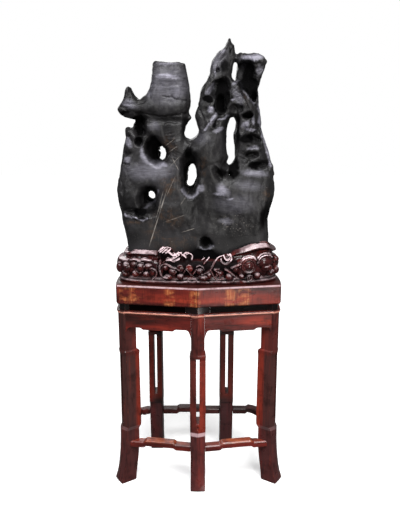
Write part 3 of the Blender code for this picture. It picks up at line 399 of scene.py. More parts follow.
# cracks and thin ledges: points, half width, depth
CRACKS_MM = (
    (((-122, 1430), (-106, 1425), (-87, 1424), (-71, 1417), (-48, 1416), (-28, 1410)), 4, 4.5),
    (((-212, 1374), (-170, 1367), (-129, 1361), (-84, 1364), (-40, 1372)), 6, 4.0),
    (((-150, 1538), (-120, 1531), (-84, 1535), (-50, 1528)), 5, 2.5),
    (((-156, 1500), (-120, 1496), (-80, 1499), (-44, 1492)), 5, -2.5),
    (((-160, 1468), (-110, 1462), (-70, 1466), (-36, 1458)), 5, 2.0),
    (((-259, 1016), (-238, 1020), (-214, 1010), (-196, 1018), (-176, 1009)), 5, -5.0),
    (((142, 1470), (162, 1446), (180, 1424), (198, 1398)), 4, 4.0),
    (((128, 1456), (148, 1438), (166, 1410), (176, 1384)), 4, 3.5),
    (((120, 1440), (136, 1426), (150, 1402)), 4, 3.0),
    (((150, 1546), (166, 1526), (184, 1512), (204, 1500)), 4, 4.0),
    (((176, 1571), (186, 1544), (206, 1526), (212, 1498)), 4, 3.5),
    (((206, 1545), (222, 1520), (236, 1530)), 4, 3.0),
    (((104, 1600), (96, 1570), (78, 1548), (66, 1522)), 4, 3.0),
    (((118, 1590), (112, 1556), (116, 1530)), 4, 3.0),
    (((34, 1500), (44, 1470), (38, 1440)), 5, 3.0),
    (((6, 1384), (22, 1350), (20, 1320)), 5, 4.0),
    (((-24, 1270), (-40, 1240), (-36, 1210)), 6, 4.0),
    (((226, 1318), (240, 1270), (258, 1214), (268, 1160)), 4, -3.0),
    (((214, 1330), (228, 1282), (244, 1226), (252, 1180)), 4, 4.0),
    (((-276, 1396), (-246, 1404), (-214, 1402), (-180, 1412)), 5, 3.0),
)
# rippled patches: x, height, half width, half height, lean, wavelength, height of the ripples
RIPPLES_MM = (
    (-88, 1296, 40, 66, 12, 11, 0.7), (-84, 1230, 36, 50, -14, 10, 0.7), (-96, 1500, 70, 44, 4, 19, 0.5),
    (134, 1436, 30, 44, 24, 11, 1.3), (48, 1340, 36, 26, -56, 13, 1.6), (178, 1320, 30, 40, 40, 15, 1.8),
    (184, 1240, 50, 60, 8, 21, 1.4), (184, 1140, 84, 40, -4, 17, 0.4), (-24, 1090, 60, 120, 70, 13, 0.4),
    (206, 1524, 26, 34, 30, 12, 1.5), (22, 1420, 20, 60, 70, 12, 0.7), (-110, 1120, 50, 60, 60, 9, 0.5),
)
# hollows and undersides painted dark as shade: x, height, half width, half height, lean, strength, steepness
PAINTED_SHADES_MM = (
    (86, 1440, 32, 58, 0, 1.0, 0.7), (76, 1392, 26, 30, 0, 1.0, 0.8), (36, 1420, 22, 13, 0, 1.0, 0.8),
    (164, 1500, 32, 60, 8, 1.0, 0.7), (190, 1460, 22, 36, 10, 1.0, 0.6), (148, 1522, 18, 34, 0, 1.0, 0.5),
    (180, 1470, 18, 30, 24, 1.0, 0.6),
    (194, 1435, 14, 24, 0, 1.0, 0.7), (175, 1366, 27, 13, 6, 0.9, 0.6), (168, 1286, 40, 20, 0, 0.9, 0.5),
    (140, 1330, 10, 84, 2, 0.9, 0.4), (-208, 1346, 34, 20, 0, 1.0, 0.6), (-203, 1318, 18, 28, 0, 1.0, 0.6),
    (-208, 1279, 15, 17, 0, 1.0, 0.8), (-152, 1252, 32, 54, -8, 1.0, 0.6),
    (-252, 1374, 26, 7, -12, 0.8, 0.5),
    (-48, 1318, 12, 44, 4, 0.7, 0.4), (-30, 1160, 30, 66, 4, 1.0, 0.6), (-34, 1236, 18, 30, 0, 0.8, 0.4),
    (-170, 1086, 32, 44, 22, 1.0, 0.6), (-206, 1032, 28, 19, 10, 1.0, 0.6),
    (-244, 1068, 44, 40, 0, 0.5, 0.3),
    (126, 1188, 22, 44, 0, 1.0, 0.6), (84, 1168, 26, 22, -34, 0.8, 0.4), (200, 1198, 30, 11, -8, 0.9, 0.6),
    (176, 1232, 30, 12, 4, 0.6, 0.4), (238, 1016, 24, 58, 10, 0.8, 0.3), (34, 924, 19, 18, 0, 1.0, 0.7),
    (-78, 914, 76, 13, 0, 0.8, 0.4), (-246, 1241, 17, 12, 0, 0.6, 0.4), (122, 950, 50, 26, 0, 0.35, 0.2),
    (94, 1534, 20, 24, 0, 0.75, 0.4), (110, 1582, 5, 12, -10, 0.9, 0.5), (68, 1520, 5, 8, 0, 0.9, 0.7),
    (60, 1338, 7, 16, 30, 0.8, 0.5), (140, 1392, 30, 20, 0, 0.5, 0.3), (-120, 1352, 60, 10, 4, 0.45, 0.3),
    (-14, 884, 128, 25, 0, 1.0, 0.4), (-200, 884, 60, 8, 0, 0.8, 0.3), (-80, 900, 60, 22, 0, 0.9, 0.4),
)
# painted highlights on swellings, lips and lit facets, and a few pale mottles of the stone's own: x, height,
# half width, half height, lean, strength, steepness
HIGHLIGHTS_AND_MOTTLES_MM = (
    (-104, 1492, 60, 11, 4, 1.0, 0.1), (-102, 1537, 50, 7, 0, 0.4, 0.3), (-66, 1440, 26, 24, 0, 0.4, 0.1),
    (-166, 1438, 16, 14, 20, 0.3, 0.1), (-236, 1402, 34, 18, 20, 0.4, 0.1), (44, 1454, 9, 28, 36, 0.6, 0.3),
    (60, 1530, 9, 44, 6, 0.35, 0.2), (84, 1584, 14, 12, 40, 0.4, 0.2), (46, 1386, 13, 14, 0, 0.9, 0.4),
    (56, 1357, 22, 10, -60, 0.7, 0.3), (72, 1319, 20, 8, -10, 0.7, 0.4), (132, 1476, 16, 7, -20, 0.6, 0.3),
    (138, 1432, 20, 40, -24, 0.3, 0.1), (120, 1419, 14, 3, 0, 0.6, 0.4), (-104, 1470, 96, 84, 0, 0.26, 0.1),
    (188, 1559, 48, 13, -3, 0.75, 0.4), (162, 1538, 12, 8, -40, 0.5, 0.4),
    (166, 1336, 20, 9, -50, 0.55, 0.3),
    (182, 1317, 24, 6, 10, 0.6, 0.3), (194, 1350, 8, 20, 0, 0.45, 0.3), (-242, 1272, 14, 20, 0, 0.5, 0.2),
    (-192, 1236, 10, 30, -10, 0.55, 0.2), (-246, 1213, 20, 11, 0, 0.45, 0.2),
    (-170, 1176, 110, 40, 0, 0.26, 0.0),
    (130, 1062, 90, 44, 0, 0.16, 0.0), (-150, 1330, 26, 20, 0, 0.2, 0.0),
    (60, 1560, 50, 60, 20, 0.22, 0.0), (-150, 1200, 60, 18, 10, 0.35, 0.1),
    (20, 1290, 40, 30, 0, 0.10, 0.0),
    (12, 1116, 10, 20, 16, 0.4, 0.2), (88, 1112, 32, 20, 30, 0.6, 0.1), (78, 1098, 28, 8, 4, 0.7, 0.2),
    (112, 1084, 16, 5, 0, 0.6, 0.3), (200, 1168, 54, 17, 4, 0.45, 0.2), (176, 1126, 60, 24, 8, 0.2, 0.0),
    (192, 1256, 26, 9, -8, 0.5, 0.3), (100, 1000, 34, 12, 0, 0.3, 0.1), (214, 1516, 16, 20, 20, 0.3, 0.2),
)
# painted highlights along lips and rims: points, half width, strength
HIGHLIGHT_RIMS_MM = (
    (((-192, 1232), (-172, 1203), (-146, 1190), (-116, 1198)), 15, 0.55),
    (((-50, 1108), (-36, 1090), (-20, 1084), (-4, 1096), (6, 1124)), 8, 0.55),
    (((-140, 1106), (-150, 1080), (-170, 1052), (-186, 1041)), 7, 0.45),
    (((-258, 1022), (-240, 1011), (-224, 1014), (-204, 1004), (-190, 1004), (-178, 1014)), 4, 0.9),
    (((12, 906), (25, 900), (40, 901), (54, 913)), 4, 0.55), (((56, 1356), (40, 1338), (24, 1314)), 6, 0.8),
    (((104, 1368), (92, 1354), (74, 1352)), 5, 0.7),
    (((146, 1478), (160, 1450), (176, 1424), (194, 1402)), 6, 0.4),
    (((212, 1404), (217, 1350), (228, 1302), (244, 1250), (256, 1192)), 8, 0.45),
)
# brown stains: x, height, half width, half height, lean, strength, steepness
STAINS_MM = (
    (-100, 1262, 36, 52, 10, 0.7, 0.0), (-96, 1130, 44, 60, 0, 0.7, 0.0), (-104, 1010, 60, 50, 0, 0.8, 0.0),
    (-150, 932, 34, 16, 0, 1.0, 0.1), (-46, 936, 50, 12, 0, 0.8, 0.0), (102, 916, 22, 14, 0, 0.8, 0.0),
    (242, 1092, 18, 26, 0, 0.7, 0.0), (-232, 994, 36, 10, 0, 0.8, 0.0), (20, 1190, 26, 60, 0, 0.4, 0.0),
    (-150, 975, 60, 40, 0, 0.4, 0.0), (158, 1430, 14, 40, -30, 0.4, 0.0),
)
BLANK_HALF_DEPTH = 0.08
ROOT_THICKNESS = 0.072       # half the slab's thickness low down
TOP_THICKNESS = 0.050        # and at the peaks
EDGE_ROUND = 0.050
EDGE_SHARE = 0.34
ROOT_TOP = 0.930
SOCKET_HALF_LENGTH = 0.2575
SOCKET_HALF_DEPTH = 0.0800
SOCKET_EXPONENT = 5.0


def stone_blank(voxel):
    """The outline with its through-holes, extruded and remeshed to even faces."""
    curve = bpy.data.curves.new("stone_outline", "CURVE")
    curve.dimensions = "2D"
    curve.fill_mode = "BOTH"
    curve.extrude = BLANK_HALF_DEPTH
    for loop in (OUTLINE_MM, *HOLES_MM):
        spline = curve.splines.new("POLY")
        spline.points.add(len(loop) - 1)
        for point, (x, z) in zip(spline.points, loop):
            point.co = (x / 1000, z / 1000, 0.0, 1.0)
        spline.use_cyclic_u = True
    drawn = bpy.data.objects.new("stone_outline", curve)
    bpy.context.scene.collection.objects.link(drawn)
    bpy.context.view_layer.update()
    mesh = bpy.data.meshes.new_from_object(drawn.evaluated_get(bpy.context.evaluated_depsgraph_get()))
    bpy.data.objects.remove(drawn)
    mesh.transform(Matrix.Rotation(math.radians(90), 4, "X"))
    bm = bmesh.new()
    bm.from_mesh(mesh)
    bmesh.ops.remove_doubles(bm, verts=bm.verts, dist=0.00005)
    bm.to_mesh(mesh)
    bm.free()
    return evened(mesh, voxel)


def outline_distance(x, z):
    """Distance from each place to the nearest edge of the outline or of a hole."""
    best = line_distance(x, z, np.array(OUTLINE_MM) / 1000)
    for loop in HOLES_MM:
        best = np.minimum(best, line_distance(x, z, np.array((*loop, loop[0])) / 1000))
    return best


def middle_surface(x, z):
    """How far the slab's middle surface wanders in depth."""
    arm = soft((-0.170 - x) / 0.09) * soft((z - 1.33) / 0.06)
    block = soft((x - 0.130) / 0.06) * soft((z - 1.38) / 0.10)
    peak = soft((z - 1.40) / 0.15) * (1.0 - block) * soft((x + 0.01) / 0.04)
    wave = 0.014 * np.sin(x * 9.0 + z * 4.0) * soft((z - 0.95) / 0.1)
    return (-0.018 * arm - 0.014 * block + 0.012 * peak + wave) * soft((z - 0.90) / 0.15)


def wander(x, z, reach, scale, seed):
    """The same places shifted a little by smooth noise, so no hollow has a perfect outline."""
    co = np.stack((x, np.full(len(x), seed), z), axis=1)
    return x + reach * turbulence(co, scale, seed, 2), z + reach * turbulence(co, scale, seed + 5.0, 2)


def front_depth(x, z):
    """Depth of the front's hollows at each place, in metres."""
    x, z = wander(x, z, 0.007, 24.0, 2.0)
    total = np.zeros(len(x))
    for form in FRONT_FORMS_MM:
        total += form_weight(x, z, form) * form[5] / 1000
    for points, half_width, rise in RIDGES_MM:
        total -= line_weight(x, z, points, half_width) * rise / 1000
    return total


def back_depth(x, z):
    """Depth of the back's hollows at each place, in metres."""
    x, z = wander(x, z, 0.007, 24.0, 6.0)
    total = np.zeros(len(x))
    for form in BACK_FORMS_MM:
        total += form_weight(x, z, form) * form[5] / 1000
    return total


def shape_slab(mesh):
    """Give the slab its thickness, rounded edges, hollows and swellings."""
    co = points_of(mesh)
    x, y, z = co.T
    depth = y / BLANK_HALF_DEPTH
    height = soft((z - 0.95) / 0.50)
    thickness = ROOT_THICKNESS + (TOP_THICKNESS - ROOT_THICKNESS) * height
    thickness = thickness * (1.0 - 0.30 * soft((-0.20 - x) / 0.05) * soft((z - 1.33) / 0.03))
    thickness = thickness * (1.0 + 0.16 * np.sin(x * 13.0 + 0.6) * np.sin(z * 11.0) * soft((z - 0.95) / 0.1))
    share = np.clip(outline_distance(x, z) / EDGE_ROUND, 0.0, 1.0)
    rounded = EDGE_SHARE + (1.0 - EDGE_SHARE) * np.sqrt(1.0 - (1.0 - share) ** 2)
    y[:] = depth * thickness * rounded + middle_surface(x, z)
    y += soft(-depth * 1.3) * front_depth(x, z) - soft(depth * 1.3) * back_depth(x, z)
    set_points(mesh, co)


def carve_stone(mesh):
    """Press the small hollows, cracks and ripples into the front, and lumps and pits all over."""
    co = points_of(mesh)
    normals = normals_of(mesh)
    x, y, z = co.T
    root = soft((z - ROOT_TOP) / 0.06)
    front = soft(-normals[:, 1] * 2.0) * soft((0.02 - y) / 0.03)
    move = np.zeros(len(x))
    hollow = np.zeros(len(x))
    near_x, near_z = wander(x, z, 0.006, 40.0, 4.0)
    for form in FINE_HOLLOWS_MM:
        weight = form_weight(near_x, near_z, form) * form[5] / 1000
        hollow += weight * front
        move -= weight * front
    near_x, near_z = wander(x, z, 0.003, 70.0, 8.0)
    for points, half_width, depth in CRACKS_MM:
        weight = line_weight(near_x, near_z, points, half_width) * depth / 1000
        hollow += np.maximum(weight, 0.0) * front * 2.0
        move -= weight * front
    shake = turbulence(co, 22.0, 5.0)
    for cx, cz, half_w, half_h, lean, wave, rise in RIPPLES_MM:
        weight = form_weight(x, z, (cx, cz, half_w, half_h, 0, 0, 0.0))
        c, s = math.cos(math.radians(lean)), math.sin(math.radians(lean))
        phase = (z * c - x * s) * 1000 / wave + shake * 1.3
        move += weight * front * np.sin(phase * 2 * math.pi) * rise / 1000
    lumps = turbulence(co, (17.0, 17.0, 11.0), 3.0)
    flutes = turbulence(co, (46.0, 46.0, 24.0), 9.0)
    skin = turbulence(co, (90.0, 90.0, 70.0), 2.0, 3)
    move += (0.0050 * lumps + 0.0026 * flutes + 0.0010 * skin) * root
    folds = 1.0 - np.abs(turbulence(co, (26.0, 26.0, 15.0), 7.0)) * 5.0
    crease = np.maximum(folds, 0.0) * soft((z - 1.0) / 0.2)
    move -= 0.0016 * crease * root
    hollow += 0.0012 * crease
    co += normals * (move * np.where(z < ROOT_TOP + 0.02, root, 1.0))[:, None]
    hollow += np.maximum(front_depth(x, z) * front, 0.0)
    hollow += np.maximum(back_depth(x, z) * soft(normals[:, 1] * 2.0), 0.0)
    # faces turned sideways away from the outer edge, such as the through-holes' walls, count as hollow too,
    # for painted shade inside them
    edge = np.array(OUTLINE_MM) / 1000
    hollow += 0.012 * (1.0 - np.abs(normals[:, 1])) * soft(line_distance(x, z, edge) / 0.04 - 0.4)
    x, y, z = co.T
    across = np.clip(np.abs(x) / SOCKET_HALF_LENGTH, 0.0, 0.999)
    room = SOCKET_HALF_DEPTH * (1.0 - across ** SOCKET_EXPONENT) ** (1.0 / SOCKET_EXPONENT)
    rooted = z < ROOT_TOP
    y[rooted] = np.clip(y[rooted], -room[rooted], room[rooted])
    x[rooted] = np.clip(x[rooted], 0.002 - SOCKET_HALF_LENGTH, SOCKET_HALF_LENGTH - 0.002)
    low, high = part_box("rock")
    z[:] = np.clip(z, low.z, high.z)
    x[:] = np.clip(x, low.x, high.x)
    y[:] = np.clip(y, low.y, high.y)
    set_points(mesh, co)
    # how far each place lies in a hollow, crack or crease; the finish paints shade there
    set_attribute(mesh, "hollow", np.clip(hollow / 0.03, 0.0, 1.0))
    tint_stone(mesh, front)


def tint_stone(mesh, front):
    """Store where the front gets painted shade, painted highlights (with some pale mottling) or brown stains.
    """
    x, _, z = points_of(mesh).T
    x, z = wander(x, z, 0.007, 30.0, 1.0)
    x, z = wander(x, z, 0.003, 120.0, 3.0)
    spread = {"painted_shade": np.zeros(len(x)), "pale": np.zeros(len(x)), "stain": np.zeros(len(x))}
    for name, forms in (("painted_shade", PAINTED_SHADES_MM), ("pale", HIGHLIGHTS_AND_MOTTLES_MM), ("stain", STAINS_MM)):
        for form in forms:
            spread[name] = np.maximum(spread[name], form_weight(x, z, form) * form[5])
    for points, half_width, strength in HIGHLIGHT_RIMS_MM:
        spread["pale"] = np.maximum(spread["pale"], line_weight(x, z, points, half_width) * strength)
    for name, values in spread.items():
        set_attribute(mesh, name, values * front)


def stone_finish(look):
    """Black-grey stone, waxed, with brown stains, pale veins and specks; purple-grey painted highlights on
    swellings and lips, with some pale mottling, and painted shade in hollows and undersides.
    """
    made, tree, shader = new_material("waxed_stone")
    where = place(tree)
    clouds = noise_of(tree, where, 7.0, 6.0, 0.62, 0.4)
    body = ramp(tree, clouds, ((0.28, look.shade), (0.50, look.colour), (0.74, look.pale)))
    streaks = noise_of(tree, place(tree, (40.0, 40.0, 260.0), (0.0, 0.35, 0.0)), 1.0, 3.0, 0.6)
    body = blend(tree, span(tree, streaks, 0.56, 0.72, 0.0, 0.22), body, look.pale)
    # painted highlight: the pale attribute takes the purple-grey sheen colour, with a few pale mottles
    highlight = times(tree, attribute(tree, "pale"), span(tree, streaks, 0.30, 0.62, 0.45, 1.0))
    body = blend(tree, highlight, body, look.sheen)
    patches = span(tree, noise_of(tree, where, 48.0, 5.0, 0.65), 0.46, 0.64)
    stained = times(tree, attribute(tree, "stain"), patches)
    body = blend(tree, times(tree, stained, 0.65), body, look.stain)
    veins = None
    for start, end, width in (
        ((-0.105, 1.120), (-0.175, 0.905), 0.0022), ((-0.120, 1.110), (-0.150, 1.000), 0.0016),
        ((-0.118, 0.998), (-0.046, 1.024), 0.0018), ((-0.090, 1.225), (-0.066, 1.180), 0.0018),
        ((-0.060, 0.960), (-0.010, 0.975), 0.0014), ((-0.030, 1.105), (-0.060, 1.060), 0.0013),
        ((-0.075, 1.165), (-0.112, 1.085), 0.0011), ((-0.128, 1.062), (-0.146, 1.018), 0.0011),
        ((-0.082, 1.285), (-0.118, 1.258), 0.0011), ((-0.070, 1.262), (-0.104, 1.238), 0.0010),
        ((-0.062, 1.228), (-0.098, 1.190), 0.0011),
    ):
        line = stroke(tree, start, end, width)
        veins = line if veins is None else maths(tree, "MAXIMUM", veins, line)
    broken = span(tree, noise_of(tree, where, 34.0, 3.0), 0.36, 0.62, 0.12, 0.62)
    body = blend(tree, times(tree, veins, broken), body, look.vein)
    scratches = noise_of(tree, place(tree, (420.0, 60.0, 26.0), (0.0, 0.55, 0.0)), 1.0, 3.0, 0.6, 0.4)
    share = maths(tree, "ADD", attribute(tree, "stain"), 0.12)
    fibre = times(tree, span(tree, scratches, 0.60, 0.72), share)
    body = blend(tree, times(tree, fibre, 0.20), body, look.vein)
    flecks = span(tree, noise_of(tree, where, 170.0, 3.0, 0.7), 0.60, 0.68)
    specks = times(tree, flecks, near(tree, (0.13, -0.07, 0.985), (0.085, 0.14, 0.055)))
    body = blend(tree, times(tree, specks, 0.8), body, look.vein)
    everywhere = span(tree, noise_of(tree, where, 230.0, 2.0, 0.7), 0.68, 0.76, 0.0, 0.35)
    body = blend(tree, everywhere, body, look.vein)
    # painted shade: hollows, cracks, creases and the painted shade patches turn almost to the shade colour
    recess_shade = span(tree, attribute(tree, "hollow"), 0.15, 0.95, 0.0, 0.75)
    shade_mask = maths(tree, "MAXIMUM", recess_shade, span(tree, attribute(tree, "painted_shade"), 0.05, 0.80))
    body = blend(tree, times(tree, shade_mask, 0.97), body, look.shade)
    tree.links.new(body, shader.inputs["Base Color"])
    rough = span(tree, noise_of(tree, where, 18.0, 5.0, 0.6), 0.3, 0.7, look.gloss - 0.08, look.gloss + 0.14)
    rough = maths(tree, "ADD", rough, times(tree, shade_mask, 0.45))
    tree.links.new(rough, shader.inputs["Roughness"])
    coarse = noise_of(tree, where, 60.0, 6.0, 0.66, 0.3)
    grain = noise_of(tree, where, 330.0, 4.0, 0.7)
    pits = span(tree, cells_of(tree, where, 120.0), 0.0, 0.35)
    relief = bump(tree, coarse, 0.0030, 0.40)
    relief = bump(tree, streaks, 0.0008, 0.4, relief)
    relief = bump(tree, pits, 0.0008, 0.35, relief)
    relief = bump(tree, grain, 0.0005, 0.5, relief)
    tree.links.new(relief, shader.inputs["Normal"])
    wax_left = maths(tree, "SUBTRACT", 1.0, shade_mask)
    tree.links.new(times(tree, wax_left, 0.42), shader.inputs["Coat Weight"])
    shader.inputs["Specular IOR Level"].default_value = 0.04
    shader.inputs["Coat Roughness"].default_value = 0.46
    return made


# ------------------------------------------------------------------------------ the carved base
BASE_HALF_LENGTH = 0.288
BASE_HALF_DEPTH = 0.118
BASE_EXPONENT = 3.0
SOCKET_CLEARANCE = 0.0015
BELLY_TOP = 0.862            # where the lip starts
MOUTH = (0.262, 0.088)       # half length and half depth of the oval whose inside gets painted shade
UNRINGED_HEADS = 3           # the last of the front heads, cut without rings
# heads and round bosses of the front in millimetres:
# x, height, half width, half height, how far they stand proud of the belly
FRONT_HEADS = in_metres((
    (-284, 832, 18, 22, 10), (-256, 838, 15, 19, 14), (-264, 812, 14, 12, 8), (-226, 849, 14, 12, 8),
    (-221, 817, 13, 12, 13), (-201, 843, 15, 15, 17), (-174, 845, 16, 12, 13), (-182, 817, 13, 12, 14),
    (-160, 828, 12, 18, 6), (-130, 836, 9, 26, 9), (-114, 843, 11, 11, 12), (-89, 829, 14, 12, 12),
    (-61, 810, 13, 11, 12), (-62, 840, 12, 14, 4), (-105, 808, 18, 10, 6), (-30, 840, 12, 14, 4),
    (8, 830, 13, 12, 12), (20, 806, 18, 10, 11), (40, 813, 10, 13, 10), (78, 820, 14, 12, 5),
    (112, 809, 15, 14, 15), (134, 836, 11, 12, 8), (155, 809, 10, 9, 11), (182, 806, 10, 10, 12),
    (212, 809, 14, 12, 8), (241, 858, 29, 21, 14), (246, 838, 22, 13, 17), (262, 817, 16, 13, 11),
    (283, 862, 14, 14, 9), (284, 822, 15, 17, 10), (-232, 864, 22, 8, 4), (-178, 864, 26, 8, 4),
    (102, 873, 19, 17, -2),
))
BACK_HEADS = in_metres((
    (-200, 835, 26, 20, 12), (-120, 830, 22, 22, 10), (-40, 838, 26, 18, 12), (50, 828, 24, 20, 10),
    (130, 838, 26, 18, 12), (210, 832, 24, 20, 12),
))
# cores of the scrolls that stand up from the low front wall
CRESTS = in_metres((
    (-124, 889, 17, 26, -11), (-99, 882, 16, 27, -12), (-70, 872, 17, 22, -11), (-38, 872, 18, 24, -11),
))
MEDALLION = (0.179, 0.848)
MEDALLION_RADIUS = 0.027
# raised carving on the front: points in millimetres, radius, distance out of the belly
TENDRILS_MM = (
    (((-170, 838), (-160, 840), (-150, 836), (-144, 826), (-147, 812), (-160, 801)), 3.6, 6.0),
    (((-132, 866), (-135, 846), (-132, 828), (-124, 811), (-106, 806)), 4.0, 6.0),
    (((-134, 840), (-126, 852), (-112, 857), (-98, 850), (-88, 843), (-76, 842), (-64, 834)), 3.2, 8.0),
    (((-110, 870), (-96, 870), (-84, 865), (-64, 875)), 3.0, 1.5),
    (((-139, 901), (-131, 907), (-122, 913)), 2.3, -2.0),
    (((-134, 896), (-123, 905), (-113, 914)), 2.3, -1.5),
    (((-125, 895), (-114, 903), (-104, 912)), 2.3, -1.5),
    (((-113, 893), (-105, 899), (-96, 906)), 2.3, -1.5),
    (((-120, 915), (-106, 917), (-92, 913)), 2.3, -3.0),
    (((-103, 899), (-95, 892), (-87, 886), (-75, 889), (-66, 896), (-56, 899)), 2.6, -1.0),
    (((-84, 892), (-74, 884), (-64, 889)), 2.2, 0.0),
    (((-70, 902), (-58, 895), (-46, 884), (-40, 878)), 2.3, -1.0),
    (((-56, 886), (-44, 893), (-36, 898)), 2.2, -2.0),
    (((-106, 876), (-94, 872), (-82, 878), (-72, 882)), 2.3, 1.0),
    (((-40, 889), (-32, 895), (-23, 893), (-18, 884), (-21, 871)), 2.7, -2.0),
    (((-52, 818), (-41, 839), (-30, 826), (-17, 812)), 2.4, 4.0),
    (((-20, 814), (-4, 838)), 2.4, 5.0),
    (((-4, 808), (20, 821), (37, 829), (46, 838), (55, 857), (64, 874), (73, 884), (92, 891)), 3.2, 8.0),
    (((81, 878), (82, 867), (88, 860), (99, 857), (110, 863), (119, 876), (116, 887), (105, 889)), 3.0, 9.0),
    (((90, 888), (96, 875), (105, 871), (112, 878)), 2.6, 9.0),
    (((22, 858), (40, 882)), 3.0, 2.0),
    (((14, 872), (24, 880)), 2.4, 0.0),
    (((44, 838), (51, 823), (59, 809), (69, 802), (85, 805), (92, 817)), 2.8, 8.0),
    (((58, 811), (68, 815), (64, 823)), 2.4, 8.0),
    (((73, 804), (78, 816), (71, 828), (57, 838), (76, 838)), 2.4, 8.0),
    (((96, 838), (104, 834), (115, 826), (128, 815), (138, 804)), 3.6, 9.0),
    (((118, 842), (137, 850), (149, 856)), 3.6, 7.0),
    (((191, 806), (189, 813), (182, 816), (175, 813), (173, 806), (175, 799), (182, 796), (189, 799),
      (191, 806)), 2.5, 12.0),
    (((212, 856), (215, 872), (225, 881), (240, 885), (258, 881), (268, 870)), 3.4, 9.0),
    (((-240, 866), (-226, 870), (-206, 866), (-188, 871), (-164, 868)), 3.2, 1.0),
    (((-221, 843), (-216, 829), (-203, 823), (-190, 830)), 2.6, 8.0),
    (((-221, 843), (-216, 857), (-203, 863), (-188, 859)), 2.6, 8.0),
    (((148, 842), (152, 864), (164, 876), (181, 880), (198, 876), (208, 866)), 3.0, 3.0),
    (((-90, 815), (-76, 826), (-72, 838)), 2.6, 5.0),
    (((-4, 846), (6, 852), (18, 846), (22, 836)), 2.6, 5.0),
)
# the foot ring's line rises in two low peaks
CUSPS_MM = (((-70, 786), (-39, 790), (-27, 798), (-20, 808), (-13, 798), (0, 790), (36, 786)),
            ((88, 786), (120, 789), (133, 797), (138, 808), (144, 797), (168, 787)))


def oval(half_length, half_depth, angle, exponent=BASE_EXPONENT):
    """A point of a squarish oval."""
    c, s = math.cos(angle), math.sin(angle)
    x = half_length * math.copysign(abs(c) ** (2.0 / exponent), c)
    y = half_depth * math.copysign(abs(s) ** (2.0 / exponent), s)
    return x, y


def lip_line(x, y):
    """Height of the wall's top: a lip at both ends and round the back, low across the front."""
    low = soft((x + 0.150) / 0.030) * soft((0.130 - x) / 0.030) * (y < 0)
    rise = 0.029 * soft((x - 0.120) / 0.110) - 0.026 * soft((x - 0.245) / 0.040)
    droop = 0.014 * soft((-x - 0.225) / 0.045)
    return 0.901 + rise - droop - 0.033 * low


def lip_height(angle):
    """Height of the wall's top in one direction."""
    return float(lip_line(*oval(BASE_HALF_LENGTH, BASE_HALF_DEPTH, angle)))


def up_the_lip(share):
    """The height of one share of the way from the belly to the lip's top, for each direction."""
    return lambda angle: BELLY_TOP + (lip_height(angle) - BELLY_TOP) * share


# outset of the wall from the foot ring's outline, and height
WALL = (
    (-0.0040, 0.7803), (-0.0005, 0.7812), (0.0008, 0.7835), (0.0015, 0.7880), (0.0010, 0.7925),
    (-0.0020, 0.7950),
    (-0.0050, 0.7958), (-0.0052, 0.7985), (-0.0100, 0.8030), (-0.0110, 0.8070), (-0.0085, 0.8110),
    (-0.0010, 0.8170),
    (0.0050, 0.8260), (0.0085, 0.8360), (0.0092, 0.8450), (0.0075, 0.8540), (0.0035, 0.8620),
)
# outset and share of the height from the belly to the top of the lip
LIP = (
    (-0.0085, 0.14), (-0.0140, 0.26), (-0.0155, 0.40), (-0.0140, 0.52), (-0.0070, 0.60), (-0.0008, 0.66),
    (0.0000, 0.70), (-0.0040, 0.77), (-0.0120, 0.90), (-0.0180, 1.00),
)
LEFT_PINCH = 0.016           # how far the lip draws in over the belly at the left end
# outset from the socket and share of the height, going down inside
INSIDE = ((0.0100, 0.99), (0.0060, 0.90), (0.0020, 0.60), (0.0, 0.0))


def base_body():
    """The turned-up wall of the base: one closed ring extruded along its section."""
    inner = (SOCKET_HALF_LENGTH + SOCKET_CLEARANCE, SOCKET_HALF_DEPTH + SOCKET_CLEARANCE)
    outer = (BASE_HALF_LENGTH, BASE_HALF_DEPTH)
    rows = [(outer, out, lambda a, h=h: h, BASE_EXPONENT, 0.0) for out, h in WALL]
    rows += [(outer, out, up_the_lip(share), BASE_EXPONENT, share) for out, share in LIP]
    rows += [(inner, out, up_the_lip(share), SOCKET_EXPONENT, 0.0) for out, share in INSIDE]
    rows.append((inner, 0.0, lambda a: SOCKET_FLOOR, SOCKET_EXPONENT, 0.0))
    bm = bmesh.new()
    turn = bm.verts.layers.float.new("turn")
    bmesh.ops.create_circle(bm, cap_ends=True, segments=140, radius=1.0)
    for vert in bm.verts:
        vert[turn] = math.atan2(vert.co.y, vert.co.x)
    ring = list(bm.verts)
    for number, (size, out, height, exponent, share) in enumerate(rows):
        if number:
            edges = [edge for edge in bm.edges if edge.verts[0] in last and edge.verts[1] in last]
            made = bmesh.ops.extrude_edge_only(bm, edges=edges)["geom"]
            ring = [item for item in made if isinstance(item, bmesh.types.BMVert)]
        for vert in ring:
            x, y = oval(size[0] + out, size[1] + out, vert[turn], exponent)
            x += LEFT_PINCH * min(share * 1.4, 1.0) * float(soft((-x - 0.200) / 0.080))
            vert.co = (x, y, height(vert[turn]))
        last = set(ring)
    bmesh.ops.edgeloop_fill(bm, edges=[edge for edge in bm.edges if edge.is_boundary])
    bmesh.ops.recalc_face_normals(bm, faces=bm.faces)
    return bm


def belly_point(x, front=True):
    """Point of the belly's widest outline at x, and the direction out of it."""
    a, b = BASE_HALF_LENGTH + 0.008, BASE_HALF_DEPTH + 0.008
    share = min(abs(x) / a, 0.9999)
    y = b * (1.0 - share ** BASE_EXPONENT) ** (1.0 / BASE_EXPONENT)
    slope_x = share ** (BASE_EXPONENT - 1) / a * math.copysign(1.0, x)
    slope_y = (y / b) ** (BASE_EXPONENT - 1) / b
    way = -1.0 if front else 1.0
    return Vector((x, y * way, 0.0)), Vector((slope_x, slope_y * way, 0.0)).normalized()


